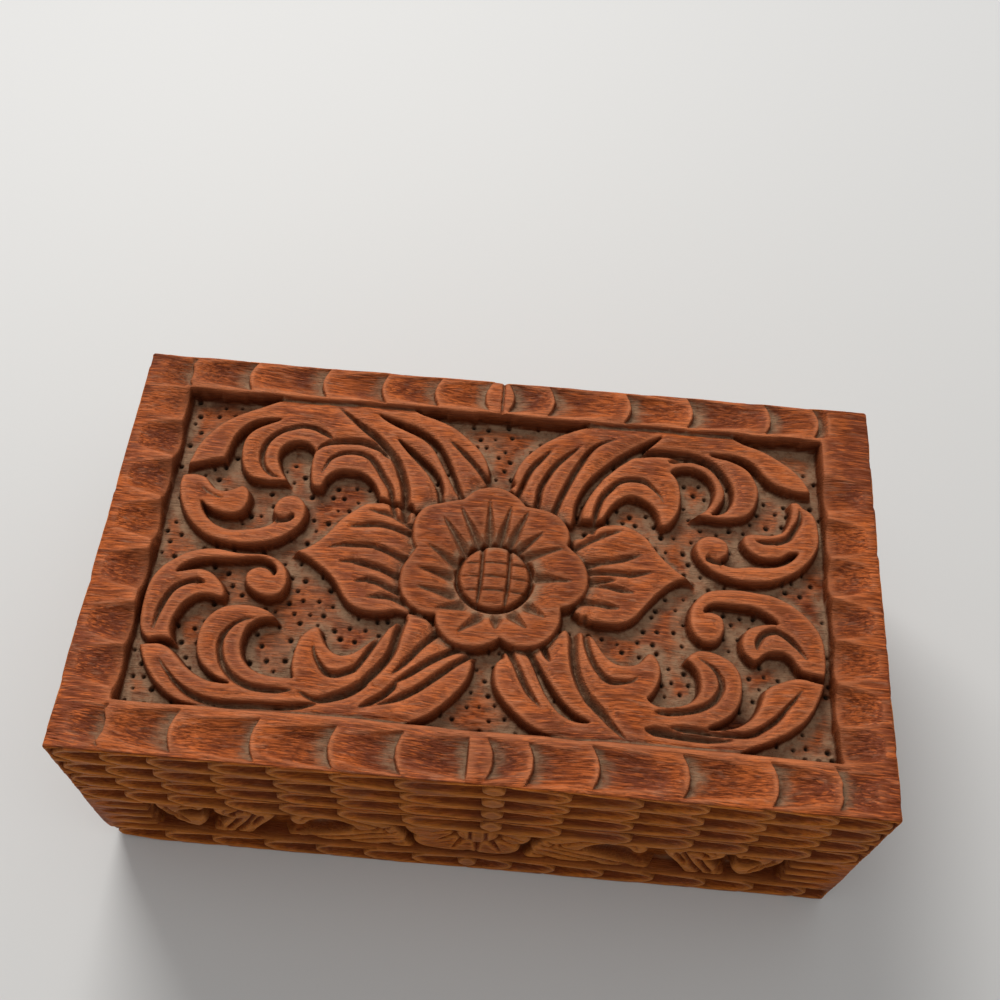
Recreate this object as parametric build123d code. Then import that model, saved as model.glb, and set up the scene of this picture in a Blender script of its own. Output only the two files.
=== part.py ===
from build123d import *
import math
import os

# A carved hardwood trinket box, in millimetres. X runs along its length, -Y is the front,
# +Z is up, and the origin is the centre of the underside.

# Overall size
box_length = 200.0
box_depth = 116.0
box_height = 73.0
corner_radius = 2.0

# Boards
top_board_thickness = 18.0
rail_height = 9.0
wall_thickness = 13.0
seam_gap = 0.4
bottom_thickness = 4.0
bottom_overlap = 6.0
board_clearance = 0.15

# Sunk field of the lid, measured in from the board's edges
field_end_margin = 13.0
field_front_margin = 13.5
field_back_margin = 11.0
field_depth = 5.5
ornament_drop = 1.0

# Gouge cuts of the lid's borders
cut_depth = 2.3
cut_land = 1.0
end_cut_half_width = 4.2
end_cut_run_out = 3.5

# Grooves between the strands of the lid's leaves
groove_width = 1.9
groove_depth = 1.8

# Dished flower in the middle of the lid, with a ring cut round its boss
flower_centre = (1.0, -2.2)
dish_outer_radius = 16.5
ring_outer_radius = 10.8
dish_depth = 1.6
ring_depth = 3.4
boss_radius = 9.2
boss_drop = 2.0

# Sunk fields of the walls
panel_end_margin = 16.0
panel_bottom = 11.5
panel_top_margin = 10.1
panel_depth = 5.0
panel_boss_centre = (2.2, 26.0)
panel_boss_radius = 5.4
panel_boss_recess = 1.2

# Sizes of the drawings that the carved outlines below are given on
lid_drawing_length = 200.0
lid_drawing_depth = 116.0
wall_drawing_length = 200.0
wall_drawing_height = 45.6
end_drawing_squeeze = 0.86

# Hinges
hinge_end_distance = 38.0
hinge_inset = 2.4
hinge_length = 25.0
knuckle_count = 5
knuckle_radius = 2.0
knuckle_end_gap = 0.3
pin_radius = 0.8
pin_clearance = 0.05
leaf_width = 8.0
leaf_thickness = 1.0
leaf_clearance = 0.15
turning_clearance = 0.3
opening_angle = 100.0

# Hinge screws
screw_length = 7.5
screw_radius = 1.0
screw_head_radius = 1.8
screw_head_height = 0.9
screw_spacing = 16.0
screw_setback = 5.2

# Hidden dowels, pins and nails
dowel_radius = 2.0
dowel_length = 16.0
dowel_clearance = 0.05
dowel_end_space = 0.4
dowel_setback = 8.5
body_dowel_heights = (11.0, 34.0)
board_pin_radius = 1.5
board_pin_length = 11.0
board_pin_share_in_rail = 0.45
nail_radius = 0.6
nail_head_radius = 1.4
nail_head_height = 0.6
nail_length = 14.0
nail_clearance = 0.02

body_height = box_height - top_board_thickness - rail_height - seam_gap
lid_bottom = body_height + seam_gap
rail_top = lid_bottom + rail_height
hinge_y = box_depth / 2 - hinge_inset
hinge_z = body_height + seam_gap / 2
half_length = box_length / 2
half_depth = box_depth / 2
inner_length = box_length - 2 * wall_thickness
inner_depth = box_depth - 2 * wall_thickness

# Carved outlines. Each is a list of smooth runs that meet at corners: a run ends where the
# next one starts. The lid's drawing has its origin at the board's centre.
back_left_spray = [
    [(-2.6, 27.8), (-4, 33), (-8.7, 38.6), (-15.3, 43.2), (-23.5, 46.2)],
    [(-27, 48.5)],
    [(-60, 48.5), (-65, 44.6), (-71.5, 41), (-75.5, 38.2), (-78.8, 34.6), (-81.4, 30.3), (-82.6, 26.3)],
    [(-83.2, 22.9), (-79.5, 24.3), (-76, 25.4)],
    [(-73.4, 26), (-72.8, 29.5), (-72, 33), (-70.4, 36), (-67.8, 38.4), (-64.8, 39.5)],
    [(-61, 39.9), (-63.4, 38.5), (-66.5, 36.8), (-69, 34), (-69.9, 30.5), (-69.6, 27), (-68.3, 23.5),
     (-66, 21), (-62.5, 20.2), (-59, 20.2)],
    [(-55.6, 20.7), (-57.6, 23.5), (-58.9, 26.2), (-59.3, 29), (-58.6, 31), (-57, 32.5), (-54.5, 33.1),
     (-52, 32.6)],
    [(-50.2, 30.8), (-50.7, 27.5), (-50.4, 24), (-49.8, 21), (-48.6, 19.4), (-47.2, 19.3)],
    [(-46.2, 20.4), (-45.7, 22.2), (-44.6, 23.8), (-42.6, 25), (-40, 25.4), (-37, 25), (-34.4, 23.5),
     (-32.4, 21)],
    [(-31, 17.8), (-27.5, 17.2), (-24, 16.9), (-19, 17.6), (-14.5, 19.3), (-10, 21.4), (-6.9, 23.9),
     (-4.4, 26.2)],
]
back_left_hook = [
    [(-83.8, 20), (-84, 17), (-83.3, 13.5), (-81.8, 10), (-79.5, 6.6), (-76.5, 3.8), (-73.3, 2),
     (-69.5, 1), (-65.3, 0.6), (-61, 0.9), (-56.5, 2.2), (-52.8, 4.6), (-50.3, 7.6), (-49.4, 10.5),
     (-49.6, 13.3), (-51, 15.4), (-53.5, 16.4), (-56, 15.7), (-57.8, 13.7), (-58.3, 11.4)],
    [(-57.6, 9.4), (-58.6, 7.2), (-61, 6), (-64.8, 5.2), (-68, 4.9), (-71, 5.5), (-73.6, 7),
     (-75.6, 9.1)],
    [(-77, 12.1), (-75, 10.4), (-72, 9.3), (-69.4, 9), (-67, 9.5), (-65.3, 11.2), (-64.7, 13.6),
     (-65, 16), (-66, 17.6)],
    [(-67.8, 18.2), (-69.2, 17.1), (-70.7, 16.4), (-72.6, 16.2), (-74.6, 17), (-76, 18.5)],
    [(-77.2, 19.9), (-80, 20.6)],
]
front_left_hook = [
    [(-81.9, -28), (-84.4, -26), (-85.6, -22), (-85.9, -18), (-85.8, -14.8), (-84.8, -10.6), (-82.6, -7),
     (-79.6, -4.2), (-76.5, -2.3), (-73.3, -1.3), (-69.5, -1.1), (-65, -1.7), (-61, -1.6), (-57.3, -1.7),
     (-54.2, -2.8), (-52, -4.8), (-50.9, -7.5), (-50.9, -10.3), (-52.2, -12.8), (-54.9, -13.9),
     (-57.6, -13.4), (-60, -12), (-61.6, -10), (-61.8, -7.9), (-60.4, -6), (-58, -5.3), (-56, -5.9)],
    [(-54.6, -7.4), (-54.6, -5.4), (-56.8, -3.6), (-60, -3), (-63.5, -3.6), (-69, -4.1), (-74.3, -4.9),
     (-77.2, -6.4)],
    [(-78.9, -8.7), (-77, -8.1), (-75, -7.5), (-72, -7.4), (-69.4, -8.6), (-67, -11), (-65.8, -13.3)],
    [(-66, -15.1), (-68, -14.9), (-70.5, -14.5), (-72.5, -15), (-74.6, -16.6), (-76.5, -20),
     (-77.2, -23.5), (-76.6, -26.4)],
    [(-75.6, -28), (-78.6, -27.3)],
]
front_left_spray = [
    [(-2.2, -26.4), (-3.4, -32), (-6.8, -36.8), (-11.3, -41.2), (-16.5, -44)],
    [(-20, -46)],
    [(-62, -46), (-67, -44), (-71, -43.2), (-74.2, -41.9), (-77.2, -39.8), (-80, -36.8), (-82, -33.8),
     (-83.4, -31)],
    [(-84.2, -29.2), (-82, -28.8), (-79, -28.6), (-76.2, -29.6), (-74, -31.5), (-71.8, -33.6),
     (-69.5, -35.2), (-66, -36.8)],
    [(-60.6, -37.3), (-65, -35.6), (-67.6, -33.6), (-69.5, -31), (-70.4, -27.5), (-70.3, -24),
     (-69.3, -21), (-67.5, -18.6), (-64.6, -16.9), (-61, -16.2), (-57, -16.5), (-54, -17.5)],
    [(-51.5, -19.6), (-54, -19.8), (-56.5, -20.6), (-58.1, -22.2), (-59, -25), (-59, -28), (-57.8, -31),
     (-55.2, -33.3), (-52, -34.4), (-48.6, -34.7)],
    [(-45.4, -34.6), (-46.4, -31), (-46.2, -27), (-45.4, -24), (-44, -22), (-42.2, -20.6)],
    [(-40.6, -20.8), (-40, -22.6), (-39, -24.6), (-37.4, -26.4), (-35, -27.5), (-32.5, -27), (-30, -25),
     (-27.5, -22.4), (-25.3, -20.4)],
    [(-23, -18.2), (-21.4, -16.7), (-19, -16.2), (-16.6, -16.7), (-14.2, -18.7), (-12.2, -21.6),
     (-8.6, -24.1), (-4.8, -25.2)],
]
back_right_spray = [
    [(3.6, 27), (5.2, 32.7), (10, 38.7), (16.5, 43.3), (21.5, 45.8)],
    [(26, 48.5)],
    [(62, 48.5), (65.5, 45), (70, 43.4), (74.5, 41), (78, 38.5), (80.6, 36), (82.5, 33)],
    [(83.6, 30.3), (80.5, 30.3), (77, 31), (74.4, 32), (72, 33.5), (70.4, 35.4), (68.8, 37.6),
     (66.8, 39.1), (63.8, 40.2), (60, 40.5)],
    [(56.8, 40.4), (60, 39.4), (63, 38.6), (66, 37), (68, 34.6), (69.2, 32), (69.6, 29.5), (69.1, 26.5),
     (67.8, 23.5), (65.5, 21.3), (62.8, 20.4), (59, 20), (55, 20.2)],
    [(51.4, 20.4), (54, 21.8), (56, 24), (57.3, 27), (57.4, 30), (56.1, 32.6), (54, 34.3), (51, 35.2),
     (48.2, 34.9)],
    [(46, 33.5), (47.6, 31.5), (48.6, 28.5), (48.7, 24.5), (48, 21), (46.6, 18.3), (45, 16.7)],
    [(43.7, 16.3), (42.9, 17.6), (42.5, 19.6), (41.4, 21.6), (39.5, 23.5), (37.1, 24.6), (35, 24.8),
     (33, 23.8), (31, 22), (29.4, 19.5)],
    [(28.2, 17.2), (26.3, 16.6), (23, 16.6), (19.8, 16.8), (16.3, 18.1), (12.9, 19.9), (9.6, 21),
     (6.8, 23.1), (4.8, 25.3)],
]
back_right_hook = [
    [(81.3, 25.8), (84.2, 23.2), (85.1, 19.5), (85.1, 16), (84, 12.4), (82, 9.3), (79.4, 6.6), (76, 4.3),
     (72, 2.6), (68, 2), (64, 2), (60, 2.9), (56.9, 4.2), (54.5, 6.1), (52.8, 8.5), (52.1, 11),
     (52.8, 13.1), (54.6, 14.6), (57.3, 15), (59.9, 14.1), (61.3, 12), (61, 9.9)],
    [(59.6, 8.6), (60.2, 7), (62.4, 6.3), (66, 6.8), (70, 6.9), (74, 7.7), (76.9, 9.3)],
    [(79, 11.7), (77, 11.4), (75, 10), (72, 9.3), (68.6, 9.7), (66, 11.5), (64.7, 14)],
    [(65.1, 15.9), (67, 16.7), (70, 16.9), (73, 17.1), (75.1, 18), (76.6, 20), (77.5, 22.5), (77.7, 25)],
    [(77.4, 26.9), (79.3, 27.6)],
]
front_right_hook = [
    [(84.4, -22.6), (84.9, -19.5), (84.9, -16), (84.4, -12.4), (82.9, -9.4), (80.5, -6.4), (77, -3.5),
     (73, -1.4), (68, -0.5), (63, -0.2), (58.5, -0.6), (55, -1.6), (52.8, -3.6), (51.3, -6), (50.7, -9),
     (51, -12), (52.4, -14.6), (54.8, -16), (57.6, -15.6), (59.2, -13.6), (59.9, -10.6), (59.2, -8.5),
     (57, -7.3)],
    [(54.7, -7.4), (55.3, -6.1), (57.5, -5), (60, -4.8), (63, -5), (67, -5.3), (69.6, -6.3),
     (71.6, -7.6)],
    [(73, -9.1), (70, -9.3), (67.4, -10), (65, -11.5), (63.8, -14), (64, -17), (65.3, -19)],
    [(67, -20.1), (68.2, -19.4), (69.6, -18), (72, -17.2), (74.5, -17.4), (76.1, -18.5), (77.3, -20.4)],
    [(78.6, -21.8), (81.5, -22.4)],
]
front_right_spray = [
    [(3, -26.5), (3.8, -33), (8.4, -38.7), (14, -42.6), (19.5, -44.3)],
    [(24, -46)],
    [(60, -46), (64, -43.6), (67, -42.1), (70.6, -40.5), (74.2, -38.5), (77.2, -36.4), (79.6, -34),
     (81.6, -31), (83.1, -27.8)],
    [(84.3, -24.2), (81, -23.7), (77.5, -23.3), (74.4, -24.2), (71.5, -25.6), (69.3, -27.2),
     (68.5, -29.2), (67.7, -31.7), (66, -34.5), (63.5, -36.6), (60, -38)],
    [(55.6, -38.3), (58.7, -36.7), (61.5, -34.4), (63.3, -31.5), (64, -28.5), (64, -25.5),
     (63.2, -22.6), (61.5, -20.5), (59, -18.9), (56, -18), (53, -18.1), (51, -19.3)],
    [(49.9, -21), (51.2, -22), (52.5, -23.6), (53.3, -26), (53.3, -28.5), (52, -31), (50, -32.4),
     (47, -33.3), (43.6, -33.6)],
    [(40.9, -32.2), (43.1, -29), (44, -26), (43.9, -23.2), (43, -21.3), (41.6, -20)],
    [(40.3, -20.1), (39.4, -21.6), (37.9, -23), (35.5, -23.7), (33, -23.5), (30.5, -21.9),
     (28.5, -19.2), (27.2, -17.2)],
    [(25.8, -15.9), (23.4, -15.5), (20.3, -16.8), (18.3, -19.6), (14.6, -22.5), (10, -23.9),
     (6.3, -24)],
]
lid_flower = [
    [(-9, 19.6), (-7.6, 21.2), (-5.4, 23), (-2.2, 24), (1.1, 23.9), (4.3, 22.4), (7, 20)],
    [(7.8, 18.9), (10.3, 18.7), (13.5, 18.1), (16.7, 16.5), (18.9, 14), (20, 10.3)],
    [(19.4, 8.1), (21.1, 6.6), (23.3, 4.3), (24.8, 1.1), (25.1, -2.7), (23.8, -6.4), (21.2, -9.2)],
    [(18.6, -10.3), (18.5, -14.6), (16.7, -18.3), (13.5, -20.9), (9.7, -22), (5.9, -21.3)],
    [(3.8, -20), (2.7, -21), (0, -22.4), (-3.8, -23.1), (-7.6, -22.4), (-10.8, -20.2), (-12.4, -17.8)],
    [(-13, -14.8), (-16.2, -14.7), (-19.4, -13.1), (-22.1, -9.7), (-23, -5.9), (-22.8, -2.7),
     (-21.6, 0.5)],
    [(-19.8, 3.8), (-21.1, 7), (-21.3, 10.8), (-20.5, 14), (-18.4, 16.4), (-15.1, 17.8), (-11.3, 18.9)],
]
left_petal = [
    [(-50.9, 0), (-49, 0.8), (-45.4, 3.4), (-42.7, 6.9), (-40.5, 10.3), (-37.8, 13), (-34.6, 15.7),
     (-30.8, 16.6), (-27, 16.4), (-24.4, 15.3)],
    [(-22.7, 13.6), (-22.4, 10.5), (-22.1, 6.8), (-21.2, 4), (-22.8, 0.5), (-23.8, -3), (-23.9, -6.5),
     (-22.9, -10.2)],
    [(-20.9, -13.3), (-22.9, -14.4), (-25.4, -15.3), (-28.6, -15.7), (-32.4, -15.1), (-35.2, -13.5),
     (-37.3, -10.8), (-39.5, -7.6), (-43.2, -4.3), (-47, -1.8)],
]
right_petal = [
    [(22.3, 10.4), (24.3, 12.7), (27, 14.8), (30.2, 15.8), (34, 15.8), (37.3, 14.5), (40.5, 11.9),
     (42.8, 8.7), (45.4, 5.8), (48.6, 3.1)],
    [(52, 1), (48.6, 0.8), (45.4, -1.2), (42.8, -3.8), (40.5, -6.6), (38.3, -9.7), (35.6, -12.2),
     (32.4, -13.2), (29, -13.2), (26, -12.9)],
    [(23.2, -12), (24.6, -8), (26.1, -4), (26.2, 0), (25.8, 3.6), (23.6, 6.8)],
]
lid_ornaments = [
    back_left_spray, back_left_hook, front_left_hook, front_left_spray, back_right_spray,
    back_right_hook, front_right_hook, front_right_spray, lid_flower, left_petal, right_petal,
]

# Gouge cuts of the long borders on the same drawing: each runs from its shallow tip to its deep
# end, which is nearer to the middle. The next numbers are the middles of the cuts at the ends.
front_cuts = [
    (-88.5, -72), (-72, -52.4), (-52.4, -34), (-34, -18.6), (-18.6, -1.4),
    (13.8, 4.8), (29.3, 13.8), (50.8, 29.3), (71.4, 50.8), (87, 71.4),
]
back_cuts = [
    (-89, -71.3), (-71.3, -51.5), (-51.5, -34.8), (-34.8, -20.3), (-20.3, -6),
    (14, 2.2), (35.2, 14), (52.2, 35.2), (72.7, 52.2), (86.8, 72.7),
]
left_cuts = (-36, -24.5, -9.5, 5, 17.8, 30.5)
right_cuts = (-39.5, -30.5, -18.3, -7, 5, 16.5, 30)

# Middle lines of the main grooves between the leaves' strands, on the same drawing
back_grooves = [
    [(-46, 45.5), (-38, 39.5), (-31, 33.5), (-26, 25.5), (-24, 17)],
    [(-50, 30.5), (-46, 34), (-40, 35), (-34, 34), (-29.5, 30)],
    [(-47.5, 23), (-45.5, 28.5), (-40, 31.3), (-33.5, 28.5), (-28.5, 21), (-27.5, 17.5)],
    [(-45, 34.5), (-51, 38), (-57, 37.5), (-62.5, 33.5), (-63.8, 27), (-60, 22), (-56.5, 21)],
    [(-34, 44), (-27.3, 41.3), (-19.3, 37.3), (-14, 29.3), (-10, 21.3)],
    [(-28, 36.5), (-20.7, 30), (-16.7, 25.3), (-14.7, 18.7)],
    [(-14.7, 38), (-10, 34), (-4, 27.3)],
    [(43, 44.5), (36.5, 39.5), (28.5, 32.5), (23, 24.5), (21.3, 16.5)],
    [(34, 37), (40, 39.2), (47, 39.5), (53, 38.8), (59.5, 34), (61.5, 28.5), (60, 24), (57, 21.5)],
    [(44, 23), (41, 28), (35, 30), (29.5, 26.5), (26, 17.5)],
    [(14, 38), (8.7, 31.3), (6.3, 25.3)],
    [(22, 40), (15.3, 33.3), (11.3, 25.3), (10.7, 21.3)],
    [(31.5, 42.8), (26, 40.3), (22.5, 36), (18.7, 28), (15.3, 18.7)],
    [(80, 25.5), (80, 22), (76.5, 16), (72.5, 14.5), (68, 14.3)],
]
front_grooves = [
    [(-44, -38), (-39, -39.8), (-30, -36), (-22.5, -26), (-21.5, -21)],
    [(-71, -11.3), (-76.5, -11.8), (-80.5, -17.5), (-81.5, -26)],
    [(-56.5, -19.8), (-62.5, -22.5), (-64, -29.5), (-59.5, -36), (-52, -38.3), (-44.5, -38)],
    [(-79, -32), (-73, -38.5), (-65, -42.3), (-53, -42.5), (-37, -40.3)],
    [(-41.8, -25), (-39.5, -30.5), (-35, -32.8), (-30.5, -30.5), (-27, -24)],
    [(-6, -26.7), (-16.7, -36), (-27.3, -40.7)],
    [(-14.7, -22.7), (-18.5, -27.5), (-22, -32)],
    [(22, -18), (22.3, -23), (25.8, -32.5), (36, -43.3)],
    [(67.5, -17), (69.5, -12.3), (74.5, -12.3), (80, -19)],
    [(52.5, -20.3), (57.5, -23.5), (58, -29.5), (52, -34), (42, -35.5)],
    [(38.8, -26.3), (34.5, -28.4), (29, -26.5), (25, -16.5)],
    [(79, -26), (74.5, -31.5), (69, -37), (60, -39.5), (45, -39)],
    [(8, -25.3), (11.3, -32), (15.3, -37.3)],
    [(12, -23.3), (16.7, -32), (21.3, -37.3), (26.7, -39.3)],
]

# The walls' drawing has its origin at the middle of the wall's lower edge. The three scrolls
# are drawn for the left half and mirrored.
wall_flower = [
    [(-3, 33.4), (-8, 32.6), (-13, 33.1), (-16.6, 31.5), (-17, 27.5), (-15.6, 24.4)],
    [(-14.2, 22.8), (-15, 20), (-14.5, 17), (-12.5, 14.4), (-9, 12.9), (-4, 12.6)],
    [(0, 13.4), (5, 12.6), (9.5, 13), (12.5, 14.7), (14, 17.5), (13.7, 20.8)],
    [(13.2, 22.5), (15.8, 25), (16.6, 28), (15.5, 31), (12, 33), (7, 33.2)],
    [(2, 32.8), (-0.5, 34.2)],
]
wall_fan = [
    [(-46.8, 25.5), (-47.4, 28), (-46.3, 31), (-43, 33), (-38, 34), (-32, 34.2), (-27, 33), (-22, 30.5)],
    [(-18.8, 27), (-17.8, 23.5), (-16.6, 21), (-16.8, 17), (-15.4, 13.5)],
    [(-14, 10)],
    [(-46, 10)],
    [(-50, 12.8), (-44, 15), (-38, 18), (-33, 20.5)],
    [(-30.5, 23.5), (-31, 26), (-33, 28.6), (-36.5, 30), (-40, 29.3), (-42, 27)],
    [(-43, 24.8), (-45, 24.3)],
]
wall_scroll = [
    [(-62.7, 23.5), (-66, 25.5), (-67.6, 28.5), (-66.5, 31.5), (-63, 33), (-58, 33.2), (-53, 32.2)],
    [(-50.5, 30), (-52, 26), (-54.5, 21), (-57, 16)],
    [(-59, 10)],
    [(-71, 10), (-68.5, 15), (-66, 19.5)],
]
wall_corner = [
    [(-82.6, 34), (-82.4, 27), (-80.6, 21.2), (-77.3, 16.8)],
    [(-73, 14), (-70.8, 17.5), (-70, 21)],
    [(-71, 24), (-73.5, 22), (-76, 22.5), (-77, 25), (-75.5, 27.5)],
    [(-72, 28), (-69.5, 29.5), (-69.6, 32.5), (-73, 34), (-78, 34.6)],
]


def mirrored(runs):
    """The outline's mirror image across the drawing's vertical middle line."""
    return [[(-x, y) for x, y in run] for run in runs]


wall_ornaments = [wall_flower]
for scroll in (wall_fan, wall_scroll, wall_corner):
    wall_ornaments += [scroll, mirrored(scroll)]
end_ornaments = [wall_flower, wall_fan, mirrored(wall_fan)]


def outline_face(runs, scale_x, scale_y):
    """A flat face from an outline's runs, stretched from its drawing to the board."""
    edges = []
    for run, following in zip(runs, runs[1:] + runs[:1]):
        points = [(x * scale_x, y * scale_y) for x, y in (*run, following[0])]
        edges.append(Line(*points) if len(points) == 2 else Spline(*points))
    return make_face(edges)


def block(x_range, y_range, z_range):
    """A box given by its lowest and highest coordinates."""
    (x0, x1), (y0, y1), (z0, z1) = x_range, y_range, z_range
    centre = Pos((x0 + x1) / 2, (y0 + y1) / 2, (z0 + z1) / 2)
    return centre * Box(x1 - x0, y1 - y0, z1 - z0)


def rod(start, direction, radius, length):
    """A cylinder from a point along a direction."""
    plane = Plane(origin=start, z_dir=direction)
    return plane * Pos(0, 0, length / 2) * Cylinder(radius, length)


def outer_form():
    """The whole box as a plain block with rounded upright corners."""
    return extrude(RectangleRounded(box_length, box_depth, corner_radius), box_height)


def lid_carving():
    """The sunk field's waste and the ornaments left standing in it."""
    field = block(
        (-half_length + field_end_margin, half_length - field_end_margin),
        (-half_depth + field_front_margin, half_depth - field_back_margin),
        (box_height - field_depth, box_height + 1),
    )
    floor = box_height - field_depth
    scale_x = box_length / lid_drawing_length
    scale_y = box_depth / lid_drawing_depth
    rise = field_depth - ornament_drop
    ornaments = [
        Pos(0, 0, floor) * extrude(outline_face(runs, scale_x, scale_y), rise)
        for runs in lid_ornaments
    ]
    return field, ornaments


def gouge_cut(tip, end, middle, half_width):
    """The waste of a gouge cut along X in the board's top, from its shallow tip to its deep end."""
    radius = (half_width**2 + cut_depth**2) / (2 * cut_depth)
    height = box_height + radius
    run = end - tip
    start = (tip - run, middle, height + cut_depth)
    sloping = rod(start, (run, 0, -cut_depth), radius, 3 * math.hypot(run, cut_depth))
    limits = block(sorted((tip, end)), (middle - half_width, middle + half_width), (rail_top, height))
    return sloping & limits


def border_cuts():
    """The gouge cuts of all four borders of the lid."""
    scale_x = box_length / lid_drawing_length
    scale_y = box_depth / lid_drawing_depth
    cuts = []
    rows = ((-1, field_front_margin, front_cuts), (1, field_back_margin, back_cuts))
    for side, margin, places in rows:
        across = side * (half_depth - margin / 2)
        for tip, end in places:
            cuts.append(gouge_cut(tip * scale_x, end * scale_x, across, margin / 2 - cut_land))
    for side, places in ((-1, left_cuts), (1, right_cuts)):
        tip = side * (half_length - end_cut_run_out)
        end = side * (half_length - field_end_margin)
        cuts += [gouge_cut(tip, end, y * scale_y, end_cut_half_width) for y in places]
    return cuts


def groove_outline(line):
    """A narrow outline round a middle line, pointed at both ends."""
    left, right = [], []
    for before, point, after in zip(line, line[1:], line[2:]):
        run = math.dist(before, after)
        across = ((before[1] - after[1]) / run, (after[0] - before[0]) / run)
        for side, points in ((1, left), (-1, right)):
            reach = side * groove_width / 2
            points.append((point[0] + across[0] * reach, point[1] + across[1] * reach))
    return [[line[0], *left], [line[-1], *reversed(right)]]


def strand_grooves():
    """The waste of the main grooves between the leaves' strands."""
    scale_x = box_length / lid_drawing_length
    scale_y = box_depth / lid_drawing_depth
    floor = box_height - ornament_drop - groove_depth
    height = groove_depth + ornament_drop
    return [
        Pos(0, 0, floor) * extrude(outline_face(groove_outline(line), scale_x, scale_y), height)
        for line in back_grooves + front_grooves
    ]


def lid_top_board():
    """The carved top board."""
    plan_x, plan_y = (-half_length, half_length), (-half_depth, half_depth)
    limits = block(plan_x, plan_y, (rail_top, box_height))
    board = outer_form() & limits
    field, ornaments = lid_carving()
    board = board - field
    for ornament in ornaments:
        board = board + (ornament & limits)
    centre_x, centre_y = flower_centre
    ornament_top = box_height - ornament_drop
    hanging = (Align.CENTER, Align.CENTER, Align.MAX)
    dish = Cone(ring_outer_radius, dish_outer_radius, dish_depth, align=hanging)
    ring = Cylinder(ring_outer_radius, ring_depth, align=hanging)
    board = board - Pos(centre_x, centre_y, ornament_top) * dish
    board = board - Pos(centre_x, centre_y, ornament_top) * ring
    boss_bottom = ornament_top - ring_depth
    boss_height = ring_depth + ornament_drop - boss_drop
    board = board + rod((centre_x, centre_y, boss_bottom), (0, 0, 1), boss_radius, boss_height)
    for cut in border_cuts() + strand_grooves():
        board = board - cut
    return board - board_pin_holes()


def carved_wall(wall, plane, half_width, ornaments, squeeze):
    """A wall with its sunk panel. The plane lies on the wall's outer face at its lower edge."""
    panel_top = body_height - panel_top_margin
    panel = block((-half_width, half_width), (panel_bottom, panel_top), (-panel_depth, 1))
    scale_x = squeeze * box_length / wall_drawing_length
    scale_y = body_height / wall_drawing_height
    wall = wall - plane * panel
    rise = panel_depth - ornament_drop
    across, upright = (-half_width - 1, half_width + 1), (panel_bottom - 1, panel_top + 1)
    limits = plane * block(across, upright, (-panel_depth, 0))
    for runs in ornaments:
        ornament = extrude(outline_face(runs, scale_x, scale_y), rise)
        wall = wall + (plane * Pos(0, 0, -panel_depth) * ornament & limits)
    boss_x, boss_y = panel_boss_centre
    hanging = (Align.CENTER, Align.CENTER, Align.MAX)
    boss = Cylinder(panel_boss_radius, panel_boss_recess, align=hanging)
    wall = wall - plane * Pos(boss_x * scale_x, boss_y * scale_y, -ornament_drop) * boss
    return wall


def long_board(side, low, high):
    """A full-length board at the front (side -1) or the back (side 1)."""
    outer, inner = side * half_depth, side * (half_depth - wall_thickness)
    return outer_form() & block((-half_length, half_length), sorted((outer, inner)), (low, high))


def end_board(side, low, high):
    """A board between the long ones at the left (side -1) or the right (side 1)."""
    outer, inner = side * half_length, side * (half_length - wall_thickness)
    reach = inner_depth / 2
    return block(sorted((outer, inner)), (-reach, reach), (low, high))


def bottom_recess():
    """The rebate that the bottom board sits in."""
    half_x = inner_length / 2 + bottom_overlap
    half_y = inner_depth / 2 + bottom_overlap
    return block((-half_x, half_x), (-half_y, half_y), (0, bottom_thickness))


def corner_dowels(heights, extra_radius=0.0, extra_length=0.0):
    """Dowels along Y across the four corner joints, or their holes when the extras are given."""
    dowels = []
    for side_x in (-1, 1):
        for side_y in (-1, 1):
            for height in heights:
                length = dowel_length + 2 * extra_length
                x = side_x * (half_length - dowel_setback)
                y = side_y * inner_depth / 2 - length / 2
                # The dowel reaches further into the end board than into the long one.
                y = y - side_y * dowel_length / 8
                dowels.append(rod((x, y, height), (0, 1, 0), dowel_radius + extra_radius, length))
    return Compound(children=dowels)


def board_pin_places():
    """The plan positions of the pins between the rim and the top board."""
    rim_y = half_depth - wall_thickness / 2
    rim_x = half_length - wall_thickness / 2
    places = []
    for side in (-1, 1):
        places += [(share * half_length, side * rim_y) for share in (-0.8, -0.3, 0.3, 0.8)]
        places += [(side * rim_x, share * inner_depth / 2) for share in (-0.5, 0.5)]
    return places


def board_pins(extra_radius=0.0, extra_length=0.0):
    """Upright pins between the rim and the top board, or their holes."""
    bottom = rail_top - board_pin_share_in_rail * board_pin_length - extra_length
    length = board_pin_length + 2 * extra_length
    radius = board_pin_radius + extra_radius
    pins = [rod((x, y, bottom), (0, 0, 1), radius, length) for x, y in board_pin_places()]
    return Compound(children=pins)


def board_pin_holes():
    """Holes for the upright pins."""
    return board_pins(dowel_clearance, dowel_end_space)


def nail_places():
    """The plan positions of the nails through the bottom board."""
    rim_y = inner_depth / 2 + bottom_overlap / 2
    rim_x = inner_length / 2 + bottom_overlap / 2
    places = []
    for side in (-1, 1):
        places += [(share * inner_length, side * rim_y) for share in (-0.42, -0.14, 0.14, 0.42)]
        places += [(side * rim_x, share * inner_depth) for share in (-0.25, 0.25)]
    return places


def nails(extra=0.0):
    """Nails driven up through the bottom board, or their holes."""
    shapes = []
    for x, y in nail_places():
        shank = rod((x, y, 0), (0, 0, 1), nail_radius + extra, nail_length + extra)
        head = rod((x, y, 0), (0, 0, 1), nail_head_radius + extra, nail_head_height)
        shapes.append(shank + head)
    return Compound(children=shapes)


def hinge_centres():
    """The X positions of the two hinges."""
    reach = half_length - hinge_end_distance
    return {"left": -reach, "right": reach}


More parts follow.
